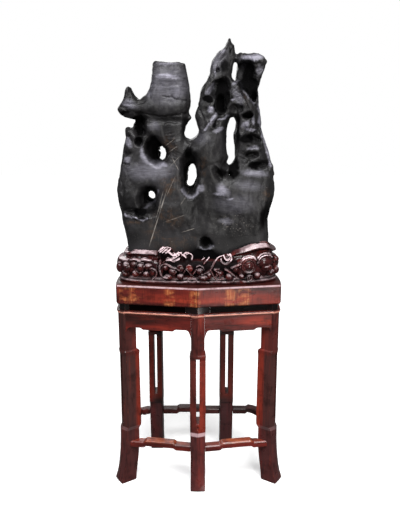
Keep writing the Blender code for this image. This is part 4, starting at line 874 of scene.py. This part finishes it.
def add_head(bm, x, height, half_width, half_height, proud, front=True, depth=0.018):
    """A rounded head standing out of the belly."""
    spot, out = belly_point(x, front)
    side = Vector((0.0, 0.0, 1.0)).cross(out)
    frame_matrix = Matrix((side, out, Vector((0.0, 0.0, 1.0)))).transposed().to_4x4()
    middle = spot + out * (proud - depth) + Vector((0.0, 0.0, height))
    size = Matrix.Diagonal((half_width, depth, half_height, 1.0))
    bmesh.ops.create_icosphere(bm, subdivisions=3, radius=1.0,
                               matrix=Matrix.Translation(middle) @ frame_matrix @ size)


def add_tendril(bm, points_mm, radius_mm, out_mm):
    """A round carved strand along points on the belly."""
    knots = []
    for x, z in points_mm:
        spot, out = belly_point(x / 1000)
        knots.append(spot + out * (out_mm / 1000) + Vector((0.0, 0.0, z / 1000)))
    path = []
    for i in range(len(knots) - 1):
        before, a, b = knots[max(i - 1, 0)], knots[i], knots[i + 1]
        after = knots[min(i + 2, len(knots) - 1)]
        for k in range(6):
            t = k / 6
            path.append(0.5 * (2 * a + (b - before) * t + (2 * before - 5 * a + 4 * b - after) * t * t
                               + (3 * a - before - 3 * b + after) * t ** 3))
    path.append(knots[-1])
    closed = knots[0] == knots[-1]
    for i, spot in enumerate(path):
        taper = 1.0 if closed else 0.62 + 0.38 * math.sin(math.pi * min(max(i / len(path), 0.08), 0.92))
        bmesh.ops.create_icosphere(bm, subdivisions=2, radius=radius_mm / 1000 * taper,
                                   matrix=Matrix.Translation(spot))


def add_medallion(bm):
    """The ringed medallion: a dished disc with a round boss, spun round its own axis."""
    rows = ((0.0, -0.010), (1.0, -0.010), (1.02, 0.006), (0.96, 0.0095), (0.86, 0.0105), (0.78, 0.0085),
            (0.70, 0.0050), (0.62, 0.0045), (0.56, 0.0060), (0.50, 0.0100), (0.40, 0.0135), (0.25, 0.0158),
            (0.10, 0.0166), (0.0, 0.0168))
    spot, out = belly_point(MEDALLION[0])
    side = Vector((0.0, 0.0, 1.0)).cross(out)
    turn = Matrix((side, out, Vector((0.0, 0.0, 1.0)))).transposed().to_4x4()
    middle = Matrix.Translation(spot + Vector((0.0, 0.0, MEDALLION[1]))) @ turn
    profile = [bm.verts.new(middle @ Vector((r * MEDALLION_RADIUS, d, 0.0))) for r, d in rows]
    edges = [bm.edges.new(pair) for pair in zip(profile, profile[1:])]
    spun = bmesh.ops.spin(bm, geom=profile + edges, cent=middle.translation, axis=out,
                          angle=2 * math.pi, steps=36, use_merge=True)
    found = {item for item in spun["geom_last"] if isinstance(item, bmesh.types.BMVert)} | set(profile)
    touched = {v for e in bm.edges if e.verts[0] in found or e.verts[1] in found for v in e.verts}
    bmesh.ops.remove_doubles(bm, verts=list(touched), dist=0.00002)


def relieve(mesh):
    """Cut rings into the heads, veins along the wall, and store how far down each place lies, for painted
    shade, and where painted highlights go.
    """
    co = points_of(mesh)
    normals = normals_of(mesh)
    x, y, z = co.T
    front = soft(-normals[:, 1] * 1.5 + 0.2) * (y < -0.03)
    move = np.zeros(len(x))
    # painted shade gathered here: rings round the heads, beds beside the strands, the carved ground, the
    # cusps, the mouth, the foot groove and the neck
    shade_mask = np.zeros(len(x))
    belly = np.zeros(len(x))
    for cx, cz, half_w, half_h, _ in FRONT_HEADS[:-UNRINGED_HEADS]:
        r = np.hypot((x - cx) / half_w, (z - cz) / half_h)
        rim = soft(1.0 - np.abs(r - 1.08) / 0.22)
        belly = np.maximum(belly, soft((1.25 - r) / 0.2))
        move -= 0.0012 * rim * front
        shade_mask += 0.6 * rim * front
        if half_w > 0.012:
            rings = 0.0005 * np.cos(r * 2 * math.pi * 2.6)
            move += rings * soft((1.0 - r) / 0.1) * soft((r - 0.25) / 0.1) * front
    for points, radius, out in TENDRILS_MM:
        away = line_distance(x, z, np.array(points) / 1000) * 1000
        bed = soft(1.0 - np.abs(away - radius * 1.35) / (radius * 0.7))
        shade_mask += 0.7 * bed * front
        move -= 0.0010 * bed * front
        belly = np.maximum(belly, soft((radius * 1.8 - away) / 2.0))
    panel = soft((z - 0.806) / 0.01) * soft((0.875 - z) / 0.01)
    panel = panel * soft((x + 0.150) / 0.02) * soft((0.150 - x) / 0.02)
    crest = soft((z - BELLY_TOP) / 0.006) * soft((x + 0.145) / 0.01) * soft((0.075 - x) / 0.02)
    ground = np.clip(panel + crest, 0.0, 1.0) * (1.0 - belly) * front
    move -= 0.0045 * ground
    shade_mask += 1.2 * ground
    for points in CUSPS_MM:
        line = line_distance(x, z, np.array(points) / 1000)
        move += 0.0022 * soft(1.0 - line / 0.0045) * front * (z < 0.812)
        shade_mask += 0.6 * soft(1.0 - np.abs(line - 0.0075) / 0.004) * front
    # painted shade inside the mouth, in the groove over the foot and under the lip
    from_middle = np.hypot(x / MOUTH[0], y / MOUTH[1])
    shade_mask += 1.0 * (from_middle < 1.0) * (z < 0.93)
    shade_mask += 0.8 * soft(1.0 - np.abs(z - 0.7955) / 0.004)
    neck = (z - BELLY_TOP) / (lip_line(x, y) - BELLY_TOP)
    shade_mask += 0.9 * soft(1.0 - np.abs(neck - 0.56) / 0.09) * (z > 0.868) * (from_middle > 1.0)
    grain = turbulence(co, (30.0, 60.0, 60.0), 4.0, 3)
    move += 0.0006 * grain * (z > 0.785)
    co += normals * move[:, None]
    low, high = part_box("carved_base")
    for axis in range(3):
        co[:, axis] = np.clip(co[:, axis], low[axis], high[axis])
    set_points(mesh, co)
    set_attribute(mesh, "hollow", np.clip(shade_mask, 0.0, 1.0))
    x, y, z = co.T
    # painted highlights: shoulders facing up, the lips' rolled tops, the foot moulding and the low strands;
    # the crest strokes are painted highlights too
    rise = normals_of(mesh)[:, 2]
    up = soft((rise - 0.42) / 0.40) * (z < 0.866) * (1.0 - ground)
    up = up * np.maximum(soft((-x - 0.14) / 0.02), z < 0.855)
    top = lip_line(x, y)
    ends = np.maximum(soft((-x - 0.140) / 0.02), soft((x - 0.14) / 0.02))
    lip = soft((z - (BELLY_TOP + (top - BELLY_TOP) * 0.64)) / 0.002) * soft((rise - 0.1) / 0.3) * ends
    dull = 0.6 * soft((x - 0.1) / 0.02) * soft((z - top + 0.008) / 0.003)
    lip *= 1.0 - 0.85 * soft((x - 0.240) / 0.020) - dull
    foot = soft(1.0 - np.abs(z - 0.7905) / 0.0045) * soft((rise + 0.1) / 0.4)
    strand = np.zeros(len(x))
    stroke_core = np.zeros(len(x))
    for points, radius, out in TENDRILS_MM:
        away = line_distance(x, z, np.array(points) / 1000) * 1000
        strand = np.maximum(strand, soft((radius * 0.95 - away) / 1.2) * (1.0 if out < 2.0 else 0.34))
        stroke_core = np.maximum(stroke_core, soft((0.62 * radius - away) / 0.7))
    strand *= front * soft((rise + 0.35) / 0.5)
    set_attribute(mesh, "painted_gleam", np.clip(np.maximum.reduce((0.75 * up, 0.9 * foot, lip, strand)), 0.0, 1.0))
    set_attribute(mesh, "crest", soft((z - 0.868) / 0.004) * stroke_core * front)


def carved_finish(look):
    """Carved rosewood, thickly waxed: painted shade very dark in the hollows, red-brown on the swellings,
    painted highlights on lips, shoulders and the crest strokes.
    """
    made, tree, shader = new_material("carved_rosewood_finish")
    where = place(tree)
    clouds = noise_of(tree, where, 24.0, 5.0, 0.6, 0.5)
    body = ramp(tree, clouds, ((0.32, look.dark), (0.52, look.colour), (0.70, look.bright)))
    lines = noise_of(tree, place(tree, (12.0, 70.0, 120.0)), 1.0, 5.0, 0.6, 0.5)
    body = blend(tree, span(tree, lines, 0.50, 0.34, 0.0, 0.6), body, shaded(look.dark, 0.4))
    patches = span(tree, noise_of(tree, where, 60.0, 4.0, 0.6), 0.36, 0.60, 0.30, 0.90)
    # painted highlights on lips, shoulders, the foot moulding and strands
    painted_gleam = times(tree, attribute(tree, "painted_gleam"), patches)
    body = blend(tree, painted_gleam, body, look.painted_gleam)
    # painted shade: hollows turn almost to a tenth of the darkest wood
    shade_mask = span(tree, attribute(tree, "hollow"), 0.15, 0.8)
    body = blend(tree, times(tree, shade_mask, 0.97), body, shaded(look.dark, 0.10))
    # painted highlight along the crest strokes
    body = blend(tree, attribute(tree, "crest"), body, shaded(look.painted_gleam, 1.9))
    tree.links.new(body, shader.inputs["Base Color"])
    rough = span(tree, noise_of(tree, where, 45.0, 4.0), 0.3, 0.7, look.gloss - 0.06, look.gloss + 0.10)
    tree.links.new(maths(tree, "ADD", rough, times(tree, shade_mask, 0.3)), shader.inputs["Roughness"])
    relief = bump(tree, noise_of(tree, where, 90.0, 4.0, 0.6), 0.0012, 0.4)
    relief = bump(tree, lines, 0.0005, 0.4, relief)
    tree.links.new(relief, shader.inputs["Normal"])
    tree.links.new(span(tree, shade_mask, 0.0, 0.8, 0.55, 0.0), shader.inputs["Coat Weight"])
    shader.inputs["Specular IOR Level"].default_value = 0.06
    shader.inputs["Coat Roughness"].default_value = 0.14
    return made


# ------------------------------------------------------------------------------ the table's wood
RIDGES = (0.007, 0.236)       # middle of the side legs' ridges, and how far they stand from it
LEDGE = (0.2130, 0.2245)      # heights of the bevelled ledge on a leg
ARRIS = (0.6705, 0.6775)      # heights of the painted highlight line along the arris over the aprons
WAIST = 0.6812                # where the waist blocks begin
# painted shade: colour of the waist under the top and of the legs' tops beside it
WAIST_SHADE = (0.002, 0.001, 0.001)
STRETCHER_TOPS = (0.1665, 0.1765)   # heights over which the stretchers' tops lie
# worn stretches of the rim's face in millimetres: x, half width
WORN_MM = ((-266, 12), (-222, 24), (-100, 16), (-10, 16), (114, 16), (162, 20))
GROUPS = {
    "legs": [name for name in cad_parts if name.startswith("leg_") and "back" not in name],
    "back_legs": [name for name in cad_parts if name.startswith("leg_back")],
    "aprons": [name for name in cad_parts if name.startswith("apron_")],
    "front_stretchers": [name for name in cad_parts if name.startswith("stretcher_front")],
    "far_stretchers": [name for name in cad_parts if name.startswith(("stretcher_back", "stretcher_left",
                                                                           "stretcher_right"))],
    "top": [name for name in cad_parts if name.startswith(("rim_", "top_panel"))],
    "waist": [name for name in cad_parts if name.startswith("waist_")],
}


def turned_out(tree, x):
    """How far a face turns away from the middle of the table, -1 to 1."""
    normal = add(tree, "ShaderNodeTexCoord").outputs["Normal"]
    aside = add(tree, "ShaderNodeSeparateXYZ", {0: normal}).outputs["X"]
    return times(tree, aside, span(tree, x, -0.012, 0.012, -1.0, 1.0))


def wood_finish(name, look, grain, dark, red, warm, part="", ledge_share=0.8):
    """Waxed rosewood: fine dark lines along the grain, redder and darker bands, worn places, and on some
    parts painted shade and painted highlights.
    """
    made, tree, shader = new_material(name)
    where = place(tree)
    spot = add(tree, "ShaderNodeSeparateXYZ", {0: where})
    height = spot.outputs["Z"]
    lines = noise_of(tree, place(tree, grain), 1.0, 6.0, 0.65, 0.6)
    broad = noise_of(tree, place(tree, tuple(g * 0.16 for g in grain)), 1.0, 3.0, 0.5, 0.8)
    body = ramp(tree, broad, ((0.30, dark), (0.50, red), (0.70, warm)))
    if part == "leg":
        upper = times(tree, span(tree, height, 0.232, 0.262), span(tree, height, 0.516, 0.506))
        body = blend(tree, times(tree, upper, 0.35), body, look.bright)
        body = blend(tree, span(tree, height, 0.222, 0.210, 0.0, 0.60), body, look.lower)
        # painted shade: the side legs' outer faces, turned from the light, and the front leg's left facet go
        # brown-dark
        aside = maths(tree, "ABSOLUTE", maths(tree, "SUBTRACT", spot.outputs["X"], RIDGES[0]))
        middle = times(tree, span(tree, height, 0.210, 0.220), span(tree, height, 0.516, 0.506))
        share = span(tree, middle, 0.0, 1.0, 0.45, 0.88)
        outer = times(tree, span(tree, aside, RIDGES[1] - 0.003, RIDGES[1] + 0.003), share)
        body = blend(tree, outer, body, look.outer)
        left = times(tree, span(tree, spot.outputs["X"], 0.002, -0.002), span(tree, aside, 0.06, 0.05))
        body = blend(tree, times(tree, left, 0.40), body, look.outer)
    if part == "rim":
        spots = noise_of(tree, place(tree, (22.0, 9.0, 44.0)), 1.0, 4.0, 0.6, 0.5)
        worn = None
        for middle, half in WORN_MM:
            away = maths(tree, "ABSOLUTE", maths(tree, "SUBTRACT", spot.outputs["X"], middle / 1000))
            one = span(tree, away, half / 700, half / 2000)
            worn = one if worn is None else maths(tree, "MAXIMUM", worn, one)
        worn = times(tree, worn, span(tree, spots, 0.42, 0.56))
        worn = times(tree, worn, span(tree, height, BOARD_TOP - 0.0080, BOARD_TOP - 0.0120))
        threads = noise_of(tree, place(tree, (420.0, 90.0, 24.0)), 1.0, 3.0, 0.6)
        body = blend(tree, times(tree, worn, 0.75), body, look.orange)
        worn = times(tree, worn, span(tree, threads, 0.53, 0.64, 0.0, 0.85))
        body = blend(tree, worn, body, look.worn)
    if part == "stretcher":
        # painted highlight: orange on the stretchers' tops, where the light falls
        gleam = span(tree, noise_of(tree, where, 30.0, 3.0), 0.36, 0.56)
        top = times(tree, span(tree, height, *STRETCHER_TOPS), gleam)
        body = blend(tree, times(tree, top, 0.8), body, look.orange)
    body = blend(tree, span(tree, lines, 0.46, 0.30, 0.0, 0.80), body, shaded(dark, 0.30))
    body = blend(tree, span(tree, lines, 0.56, 0.72, 0.0, 0.30), body, warm)
    grime = noise_of(tree, where, 24.0, 5.0, 0.6)
    body = blend(tree, span(tree, grime, 0.52, 0.72, 0.0, 0.65), body, shaded(dark, 0.35))
    if part == "rim":
        streaks = noise_of(tree, place(tree, (380.0, 40.0, 20.0)), 1.0, 3.0, 0.6)
        body = blend(tree, span(tree, streaks, 0.48, 0.36, 0.0, 0.45), body, shaded(dark, 0.4))
        # painted shade on the rim's ends, where they turn from the light
        ends = span(tree, turned_out(tree, spot.outputs["X"]), 0.45, 0.75, 0.0, 0.92)
        body = blend(tree, ends, body, shaded(look.outer, 0.5))
        body = blend(tree, span(tree, height, BOARD_TOP - 0.0032, BOARD_TOP - 0.0020, 0.0, 0.85), body, dark)
        # painted highlight: a pale band along the top moulding
        pale = times(tree, span(tree, height, BOARD_TOP - 0.0088, BOARD_TOP - 0.0076),
                     span(tree, height, BOARD_TOP - 0.0022, BOARD_TOP - 0.0034))
        broken = noise_of(tree, place(tree, (50.0, 50.0, 0.0)), 1.0, 3.0)
        pale = times(tree, pale, span(tree, broken, 0.30, 0.52, 0.30, 0.85))
        body = blend(tree, pale, body, look.painted_gleam)
    if part == "leg":
        # painted highlight: grey-pink on the bevelled ledge, strongest on the front leg
        ledge_highlight = times(tree, span(tree, height, LEDGE[0] - 0.001, LEDGE[0]),
                      span(tree, height, LEDGE[1] + 0.0012, LEDGE[1] - 0.0005))
        ledge_highlight = times(tree, ledge_highlight, span(tree, aside, 0.06, 0.10, 0.75, 0.12))
        body = blend(tree, times(tree, ledge_highlight, ledge_share), body, look.painted_gleam)
        # painted shade: the legs go nearly black above the waist's start, under the top
        under_top_shade = span(tree, height, WAIST - 0.0005, WAIST + 0.0005, 0.0, 0.96)
        body = blend(tree, under_top_shade, body, WAIST_SHADE)
    if part in ("leg", "apron"):
        # painted highlight: a wavy pink line along the arris over the aprons and legs
        waves = times(tree, noise_of(tree, place(tree, (38.0, 38.0, 0.0)), 1.0, 2.0), 0.0070)
        line = maths(tree, "ADD", height, maths(tree, "SUBTRACT", waves, 0.0035))
        arris = times(tree, span(tree, line, ARRIS[0] - 0.0012, ARRIS[0]),
                      span(tree, line, ARRIS[1] + 0.0010, ARRIS[1]))
        body = blend(tree, times(tree, arris, 0.85), body, look.pale)
    tree.links.new(body, shader.inputs["Base Color"])
    rough = span(tree, noise_of(tree, where, 30.0, 4.0), 0.3, 0.7, look.gloss - 0.07, look.gloss + 0.12)
    tree.links.new(rough, shader.inputs["Roughness"])
    relief = bump(tree, noise_of(tree, where, 16.0, 3.0), 0.0030, 0.35)
    relief = bump(tree, lines, 0.0006, 0.5, relief)
    relief = bump(tree, noise_of(tree, where, 420.0, 3.0), 0.0003, 0.3, relief)
    tree.links.new(relief, shader.inputs["Normal"])
    shader.inputs["Specular IOR Level"].default_value = {"waist": 0.05, "stretcher": 0.22}.get(part, 0.28)
    shader.inputs["Coat Weight"].default_value = {"waist": 0.0, "stretcher": 0.30}.get(part, 0.16)
    shader.inputs["Coat Roughness"].default_value = 0.20
    return made


def arris_finish(look):
    """The eased edges of the wood: mostly dark, as painted shade along the arrises, with random red and
    orange worn patches, and smoother.
    """
    made, tree, shader = new_material("arris_shade_and_wear")
    where = place(tree)
    fade = noise_of(tree, where, 40.0, 4.0, 0.6)
    dark, red = shaded(look.dark, 0.4), shaded(look.red, 0.8)
    body = ramp(tree, fade, ((0.42, dark), (0.60, red), (0.76, look.orange)))
    tree.links.new(body, shader.inputs["Base Color"])
    tree.links.new(span(tree, fade, 0.3, 0.7, 0.34, 0.20), shader.inputs["Roughness"])
    tree.links.new(bump(tree, noise_of(tree, where, 120.0, 3.0), 0.0006, 0.4), shader.inputs["Normal"])
    shader.inputs["Coat Weight"].default_value = 0.35
    shader.inputs["Coat Roughness"].default_value = 0.15
    return made


def ease_edges(node, width, edges_slot=1):
    """Round a CAD piece's sharp edges; its faces stay where they are."""
    weld = node.modifiers.new("weld", "WELD")
    weld.merge_threshold = 0.00005
    ease = node.modifiers.new("eased_edges", "BEVEL")
    ease.width = width
    ease.segments = 3
    ease.limit_method = "ANGLE"
    ease.angle_limit = math.radians(24)
    ease.use_clamp_overlap = True
    ease.harden_normals = False
    ease.material = edges_slot


def dress(group, finish, edge_finish, width):
    """Give a group of CAD pieces their finish and rounded edges."""
    for name in GROUPS[group]:
        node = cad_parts[name]
        while len(node.material_slots) < 2:
            node.data.materials.append(None)
        node.material_slots[0].material = finish
        node.material_slots[1].material = edge_finish
        ease_edges(node, width)


# ------------------------------------------------------------------------------ settings
def colour_setting(name, description, default):
    """A colour that the panel shows."""
    return FloatVectorProperty(name=name, description=description, subtype="COLOR", default=default,
                               min=0.0, max=1.0)


def gloss_setting(description, default):
    """The roughness of a surface."""
    return FloatProperty(name="Roughness", description=description, default=default,
                         min=0.1, max=0.9, subtype="FACTOR")


def power_setting(name, description, default):
    """The power of a lamp."""
    return FloatProperty(name=name, description=description, default=default, unit="POWER")


class StoneLook(bpy.types.PropertyGroup):
    """Size of the stone's mesh and its colours."""
    voxel: FloatProperty(name="Mesh size", description="Spacing of the stone's points", default=0.0033,
                         min=0.002, max=0.02, unit="LENGTH")
    # darkest clouds of the stone, and the colour of the painted shade in hollows and undersides
    shade: colour_setting("Shade", "Darkest stone, in hollows", (0.0008, 0.0007, 0.0008))
    colour: colour_setting("Stone", "Main colour of the stone", (0.0130, 0.0122, 0.0128))
    pale: colour_setting("Pale stone", "Palest clouds in the stone", (0.028, 0.0265, 0.029))
    # colour of the painted highlights on the stone's swellings, lips and lit facets
    sheen: colour_setting("Pale wax", "Pale swellings and lips", (0.360, 0.348, 0.415))
    stain: colour_setting("Stain", "Brown stains", (0.085, 0.045, 0.022))
    vein: colour_setting("Vein", "Thin veins and specks", (0.30, 0.27, 0.24))
    gloss: gloss_setting("Roughness of the waxed surface", 0.40)


class BaseLook(bpy.types.PropertyGroup):
    """Size of the carved base's mesh and its colours."""
    voxel: FloatProperty(name="Mesh size", description="Spacing of the carving's points", default=0.0021,
                         min=0.0015, max=0.01, unit="LENGTH")
    dark: colour_setting("Dark", "Darkest wood", (0.012, 0.003, 0.004))
    colour: colour_setting("Carved wood", "Main colour of the carving", (0.042, 0.009, 0.009))
    bright: colour_setting("Bright", "Reddest swellings", (0.125, 0.018, 0.015))
    # colour of the painted highlights on the carving
    painted_gleam: colour_setting("Rubbed", "Pale wax on lips and shoulders", (0.460, 0.355, 0.375))
    gloss: gloss_setting("Roughness of the waxed carving", 0.26)


class WoodLook(bpy.types.PropertyGroup):
    """Colours and edges of the table's wood."""
    dark: colour_setting("Dark", "Dark bands of the wood", (0.026, 0.006, 0.005))
    red: colour_setting("Red", "Main colour of the wood", (0.100, 0.012, 0.009))
    bright: colour_setting("Bright", "Brightest red faces", (0.245, 0.029, 0.015))
    orange: colour_setting("Orange", "Orange wood in worn places", (0.340, 0.085, 0.030))
    worn: colour_setting("Worn", "Pale threads in worn places", (0.620, 0.300, 0.110))
    lower: colour_setting("Lower legs", "Brown of the legs below their ledges", (0.060, 0.018, 0.020))
    # colour of the painted shade on faces turned from the light
    outer: colour_setting("Outer faces", "Brown of the legs' outer faces", (0.042, 0.018, 0.017))
    # colour of the painted highlights on the ledges and the rim's top
    painted_gleam: colour_setting("Rubbed", "Grey wax on the ledges", (0.430, 0.300, 0.320))
    # colour of the painted highlight line along the arris
    pale: colour_setting("Pale arris", "Pink line over the aprons", (0.620, 0.270, 0.200))
    gloss: gloss_setting("Roughness of the waxed wood", 0.32)
    edge: FloatProperty(name="Edge", description="Width of the rounded edges", default=0.0022,
                        min=0.0002, max=0.006, unit="LENGTH")


class StageLook(bpy.types.PropertyGroup):
    """Camera, lamps and floor."""
    lens: FloatProperty(name="Lens", description="Focal length of the camera", default=42.44,
                        min=10.0, max=200.0, unit="CAMERA")
    height: FloatProperty(name="Camera height", description="Height of the camera over the floor",
                          default=1.334, unit="LENGTH")
    away: FloatProperty(name="Camera distance", description="Distance of the camera in front", default=2.172,
                        unit="LENGTH")
    pitch: FloatProperty(name="Pitch", description="How far the camera looks down",
                         default=math.radians(12.2), subtype="ANGLE")
    floor: colour_setting("Floor", "Colour of the floor", (0.90, 0.90, 0.90))
    glow: FloatProperty(name="Floor glow", description="Light of the floor itself, so it stays pale",
                        default=0.40)
    daylight: FloatProperty(name="Daylight", description="Strength of the broad overhead light", default=2.6)
    ambient: FloatProperty(name="Ambient", description="Strength of the light from all round", default=0.14)
    key: power_setting("Key lamp", "Power of the lamp at the upper left", 30.0)
    fill: power_setting("Fill lamp", "Power of the lamp at the right", 34.0)
    bank: power_setting("Bank lamp", "Power of the long lamp in front", 45.0)
    back: power_setting("Back lamp", "Power of the lamp behind", 24.0)


# ------------------------------------------------------------------------------ operators
class MakeStone(bpy.types.Operator):
    """Carve the stone"""
    bl_idname = "rock.make_stone"
    bl_label = "Stone"

    def execute(self, context):
        look = context.scene.stone_look
        mesh = stone_blank(look.voxel)
        shape_slab(mesh)
        mesh = evened(mesh, look.voxel * 0.97)
        smoothed(mesh, 2)
        carve_stone(mesh)
        mesh = thinned(mesh)
        new_piece("stone", mesh, stone_finish(look), "rock", slot="stone")
        return {"FINISHED"}


class MakeBase(bpy.types.Operator):
    """Carve the base that holds the stone"""
    bl_idname = "rock.make_base"
    bl_label = "Carved base"

    def execute(self, context):
        look = context.scene.base_look
        bm = base_body()
        for row in (*FRONT_HEADS, *CRESTS):
            add_head(bm, *row)
        for row in BACK_HEADS:
            add_head(bm, *row, front=False)
        for row in TENDRILS_MM:
            add_tendril(bm, *row)
        add_medallion(bm)
        mesh = bpy.data.meshes.new("carved_base")
        bm.to_mesh(mesh)
        bm.free()
        mesh = evened(mesh, look.voxel)
        smoothed(mesh, 1)
        relieve(mesh)
        mesh = thinned(mesh)
        new_piece("carved_socket", mesh, carved_finish(look), "carved_base", slot="carved_rosewood")
        return {"FINISHED"}


class DressTable(bpy.types.Operator):
    """Finish the table's wood"""
    bl_idname = "rock.dress_table"
    bl_label = "Table"

    def execute(self, context):
        look = context.scene.wood_look
        dark, red, bright = look.dark, look.red, look.bright
        edge = arris_finish(look)
        upright, level = (90.0, 90.0, 9.0), (9.0, 60.0, 110.0)
        legs = wood_finish("leg_rosewood", look, upright, dark, red, bright, "leg")
        # painted shade: the back legs and far stretchers are darker copies of the wood, in the painted shade
        # brown
        brown = look.outer
        dim = wood_finish("shaded_back_rosewood", look, upright, shaded(dark, 0.3), brown, red, "leg", 0.1)
        aprons = wood_finish("apron_rosewood", look, level, dark, red, bright, "apron")
        rails = wood_finish("stretcher_rosewood", look, level, dark, shaded(red, 1.2), bright, "stretcher")
        far_rails = wood_finish("shaded_far_stretcher_rosewood", look, level, shaded(dark, 0.5), brown, red)
        top = wood_finish("top_rosewood", look, level, dark, red, bright, "rim")
        # painted shade: the waist gets near-black copies of the dark wood
        shades = (shaded(dark, k) for k in (0.05, 0.1, 0.4))
        waist = wood_finish("shaded_waist_rosewood", look, level, *shades, "waist")
        dress("back_legs", dim, edge, look.edge)
        dress("legs", legs, edge, look.edge)
        dress("aprons", aprons, edge, look.edge)
        dress("front_stretchers", rails, edge, look.edge)
        dress("far_stretchers", far_rails, edge, look.edge)
        dress("top", top, edge, look.edge * 0.05)
        dress("waist", waist, edge, look.edge * 0.4)
        return {"FINISHED"}


class SetStage(bpy.types.Operator):
    """Set the floor, lamps and camera"""
    bl_idname = "rock.set_stage"
    bl_label = "Stage"

    def execute(self, context):
        look = context.scene.stage_look
        scene = context.scene
        bm = bmesh.new()
        bmesh.ops.create_grid(bm, x_segments=2, y_segments=2, size=14.0)
        mesh = bpy.data.meshes.new("floor")
        bm.to_mesh(mesh)
        bm.free()
        floor = bpy.data.objects.new("floor", mesh)
        scene.collection.objects.link(floor)
        made, tree, shader = new_material("pale_floor")
        shade = noise_of(tree, place(tree), 3.0, 3.0)
        tint = ramp(tree, shade, ((0.3, shaded(look.floor, 0.985)), (0.7, look.floor)))
        tree.links.new(tint, shader.inputs["Base Color"])
        shader.inputs["Roughness"].default_value = 0.9
        shader.inputs["Specular IOR Level"].default_value = 0.1
        shader.inputs["Emission Color"].default_value = (1.0, 1.0, 1.0, 1.0)
        shader.inputs["Emission Strength"].default_value = look.glow
        mesh.materials.append(made)
        floor.visible_diffuse = False
        floor.visible_glossy = False
        sun = bpy.data.lights.new("daylight", "SUN")
        sun.energy = look.daylight
        sun.angle = math.radians(34)
        high = bpy.data.objects.new("daylight", sun)
        scene.collection.objects.link(high)
        high.rotation_euler = Vector((-0.14, 0.55, -1.0)).to_track_quat("-Z", "Y").to_euler()
        lamp(scene, "key", (-1.7, -1.5, 2.3), (0.0, 0.0, 1.3), (0.9, 0.9), look.key, (0.97, 0.97, 1.0))
        lamp(scene, "fill", (1.1, -2.4, 0.9), (0.0, 0.0, 0.5), (0.7, 1.4), look.fill, (1.0, 0.98, 0.95))
        lamp(scene, "bank", (0.3, -1.6, 2.9), (0.0, 0.0, 0.9), (2.6, 0.7), look.bank, (1.0, 1.0, 1.0))
        lamp(scene, "back", (-0.8, 2.4, 2.3), (0.0, 0.0, 0.9), (1.6, 1.4), look.back, (1.0, 1.0, 1.0))
        world = bpy.data.worlds.new("studio")
        world.use_nodes = True
        tree = world.node_tree
        background = tree.nodes["Background"]
        background.inputs["Color"].default_value = (1.0, 1.0, 1.0, 1.0)
        seen = add(tree, "ShaderNodeLightPath").outputs["Is Camera Ray"]
        tree.links.new(span(tree, seen, 0.0, 1.0, look.ambient, 1.0), background.inputs["Strength"])
        scene.world = world
        camera = bpy.data.objects.new("camera", bpy.data.cameras.new("camera"))
        scene.collection.objects.link(camera)
        camera.location = (0.008, -look.away, look.height)
        camera.rotation_euler = (math.radians(90.0) - look.pitch, 0.0, 0.0)
        camera.data.lens = look.lens
        camera.data.sensor_width = 36.0
        scene.camera = camera
        scene.view_settings.view_transform = "Standard"
        return {"FINISHED"}


def lamp(scene, name, spot, target, size, power, colour):
    """A rectangular soft lamp aimed at a point."""
    data = bpy.data.lights.new(name, "AREA")
    data.shape = "RECTANGLE"
    data.size, data.size_y = size
    data.energy = power
    data.color = colour
    made = bpy.data.objects.new(name, data)
    scene.collection.objects.link(made)
    made.visible_camera = False
    made.location = spot
    made.rotation_euler = (Vector(target) - Vector(spot)).to_track_quat("-Z", "Y").to_euler()
    return made


class RockPanel(bpy.types.Panel):
    """Builds and finishes the pieces."""
    bl_idname = "VIEW3D_PT_scholars_rock"
    bl_label = "Scholar's rock"
    bl_space_type = "VIEW_3D"
    bl_region_type = "UI"
    bl_category = "Scholar's rock"

    def draw(self, context):
        for look, operators in SECTIONS:
            box = self.layout.box()
            for operator in operators:
                box.operator(operator)
            group = getattr(context.scene, look)
            for name in group.__annotations__:
                box.prop(group, name)


SECTIONS = (
    ("stone_look", ("rock.make_stone",)),
    ("base_look", ("rock.make_base",)),
    ("wood_look", ("rock.dress_table",)),
    ("stage_look", ("rock.set_stage",)),
)
CLASSES = (StoneLook, BaseLook, MakeBase, WoodLook, StageLook, MakeStone, DressTable, SetStage, RockPanel)


def register():
    """Add the classes and their settings to Blender."""
    for item in CLASSES:
        bpy.utils.register_class(item)
    bpy.types.Scene.stone_look = PointerProperty(type=StoneLook)
    bpy.types.Scene.base_look = PointerProperty(type=BaseLook)
    bpy.types.Scene.wood_look = PointerProperty(type=WoodLook)
    bpy.types.Scene.stage_look = PointerProperty(type=StageLook)


def unregister():
    """Take them away again."""
    for look, _ in SECTIONS:
        delattr(bpy.types.Scene, look)
    for item in reversed(CLASSES):
        bpy.utils.unregister_class(item)


def main():
    """Build every piece in order."""
    register()
    bpy.ops.rock.set_stage()
    bpy.ops.rock.make_stone()
    bpy.ops.rock.make_base()
    bpy.ops.rock.dress_table()


if __name__ == "__main__":
    main()
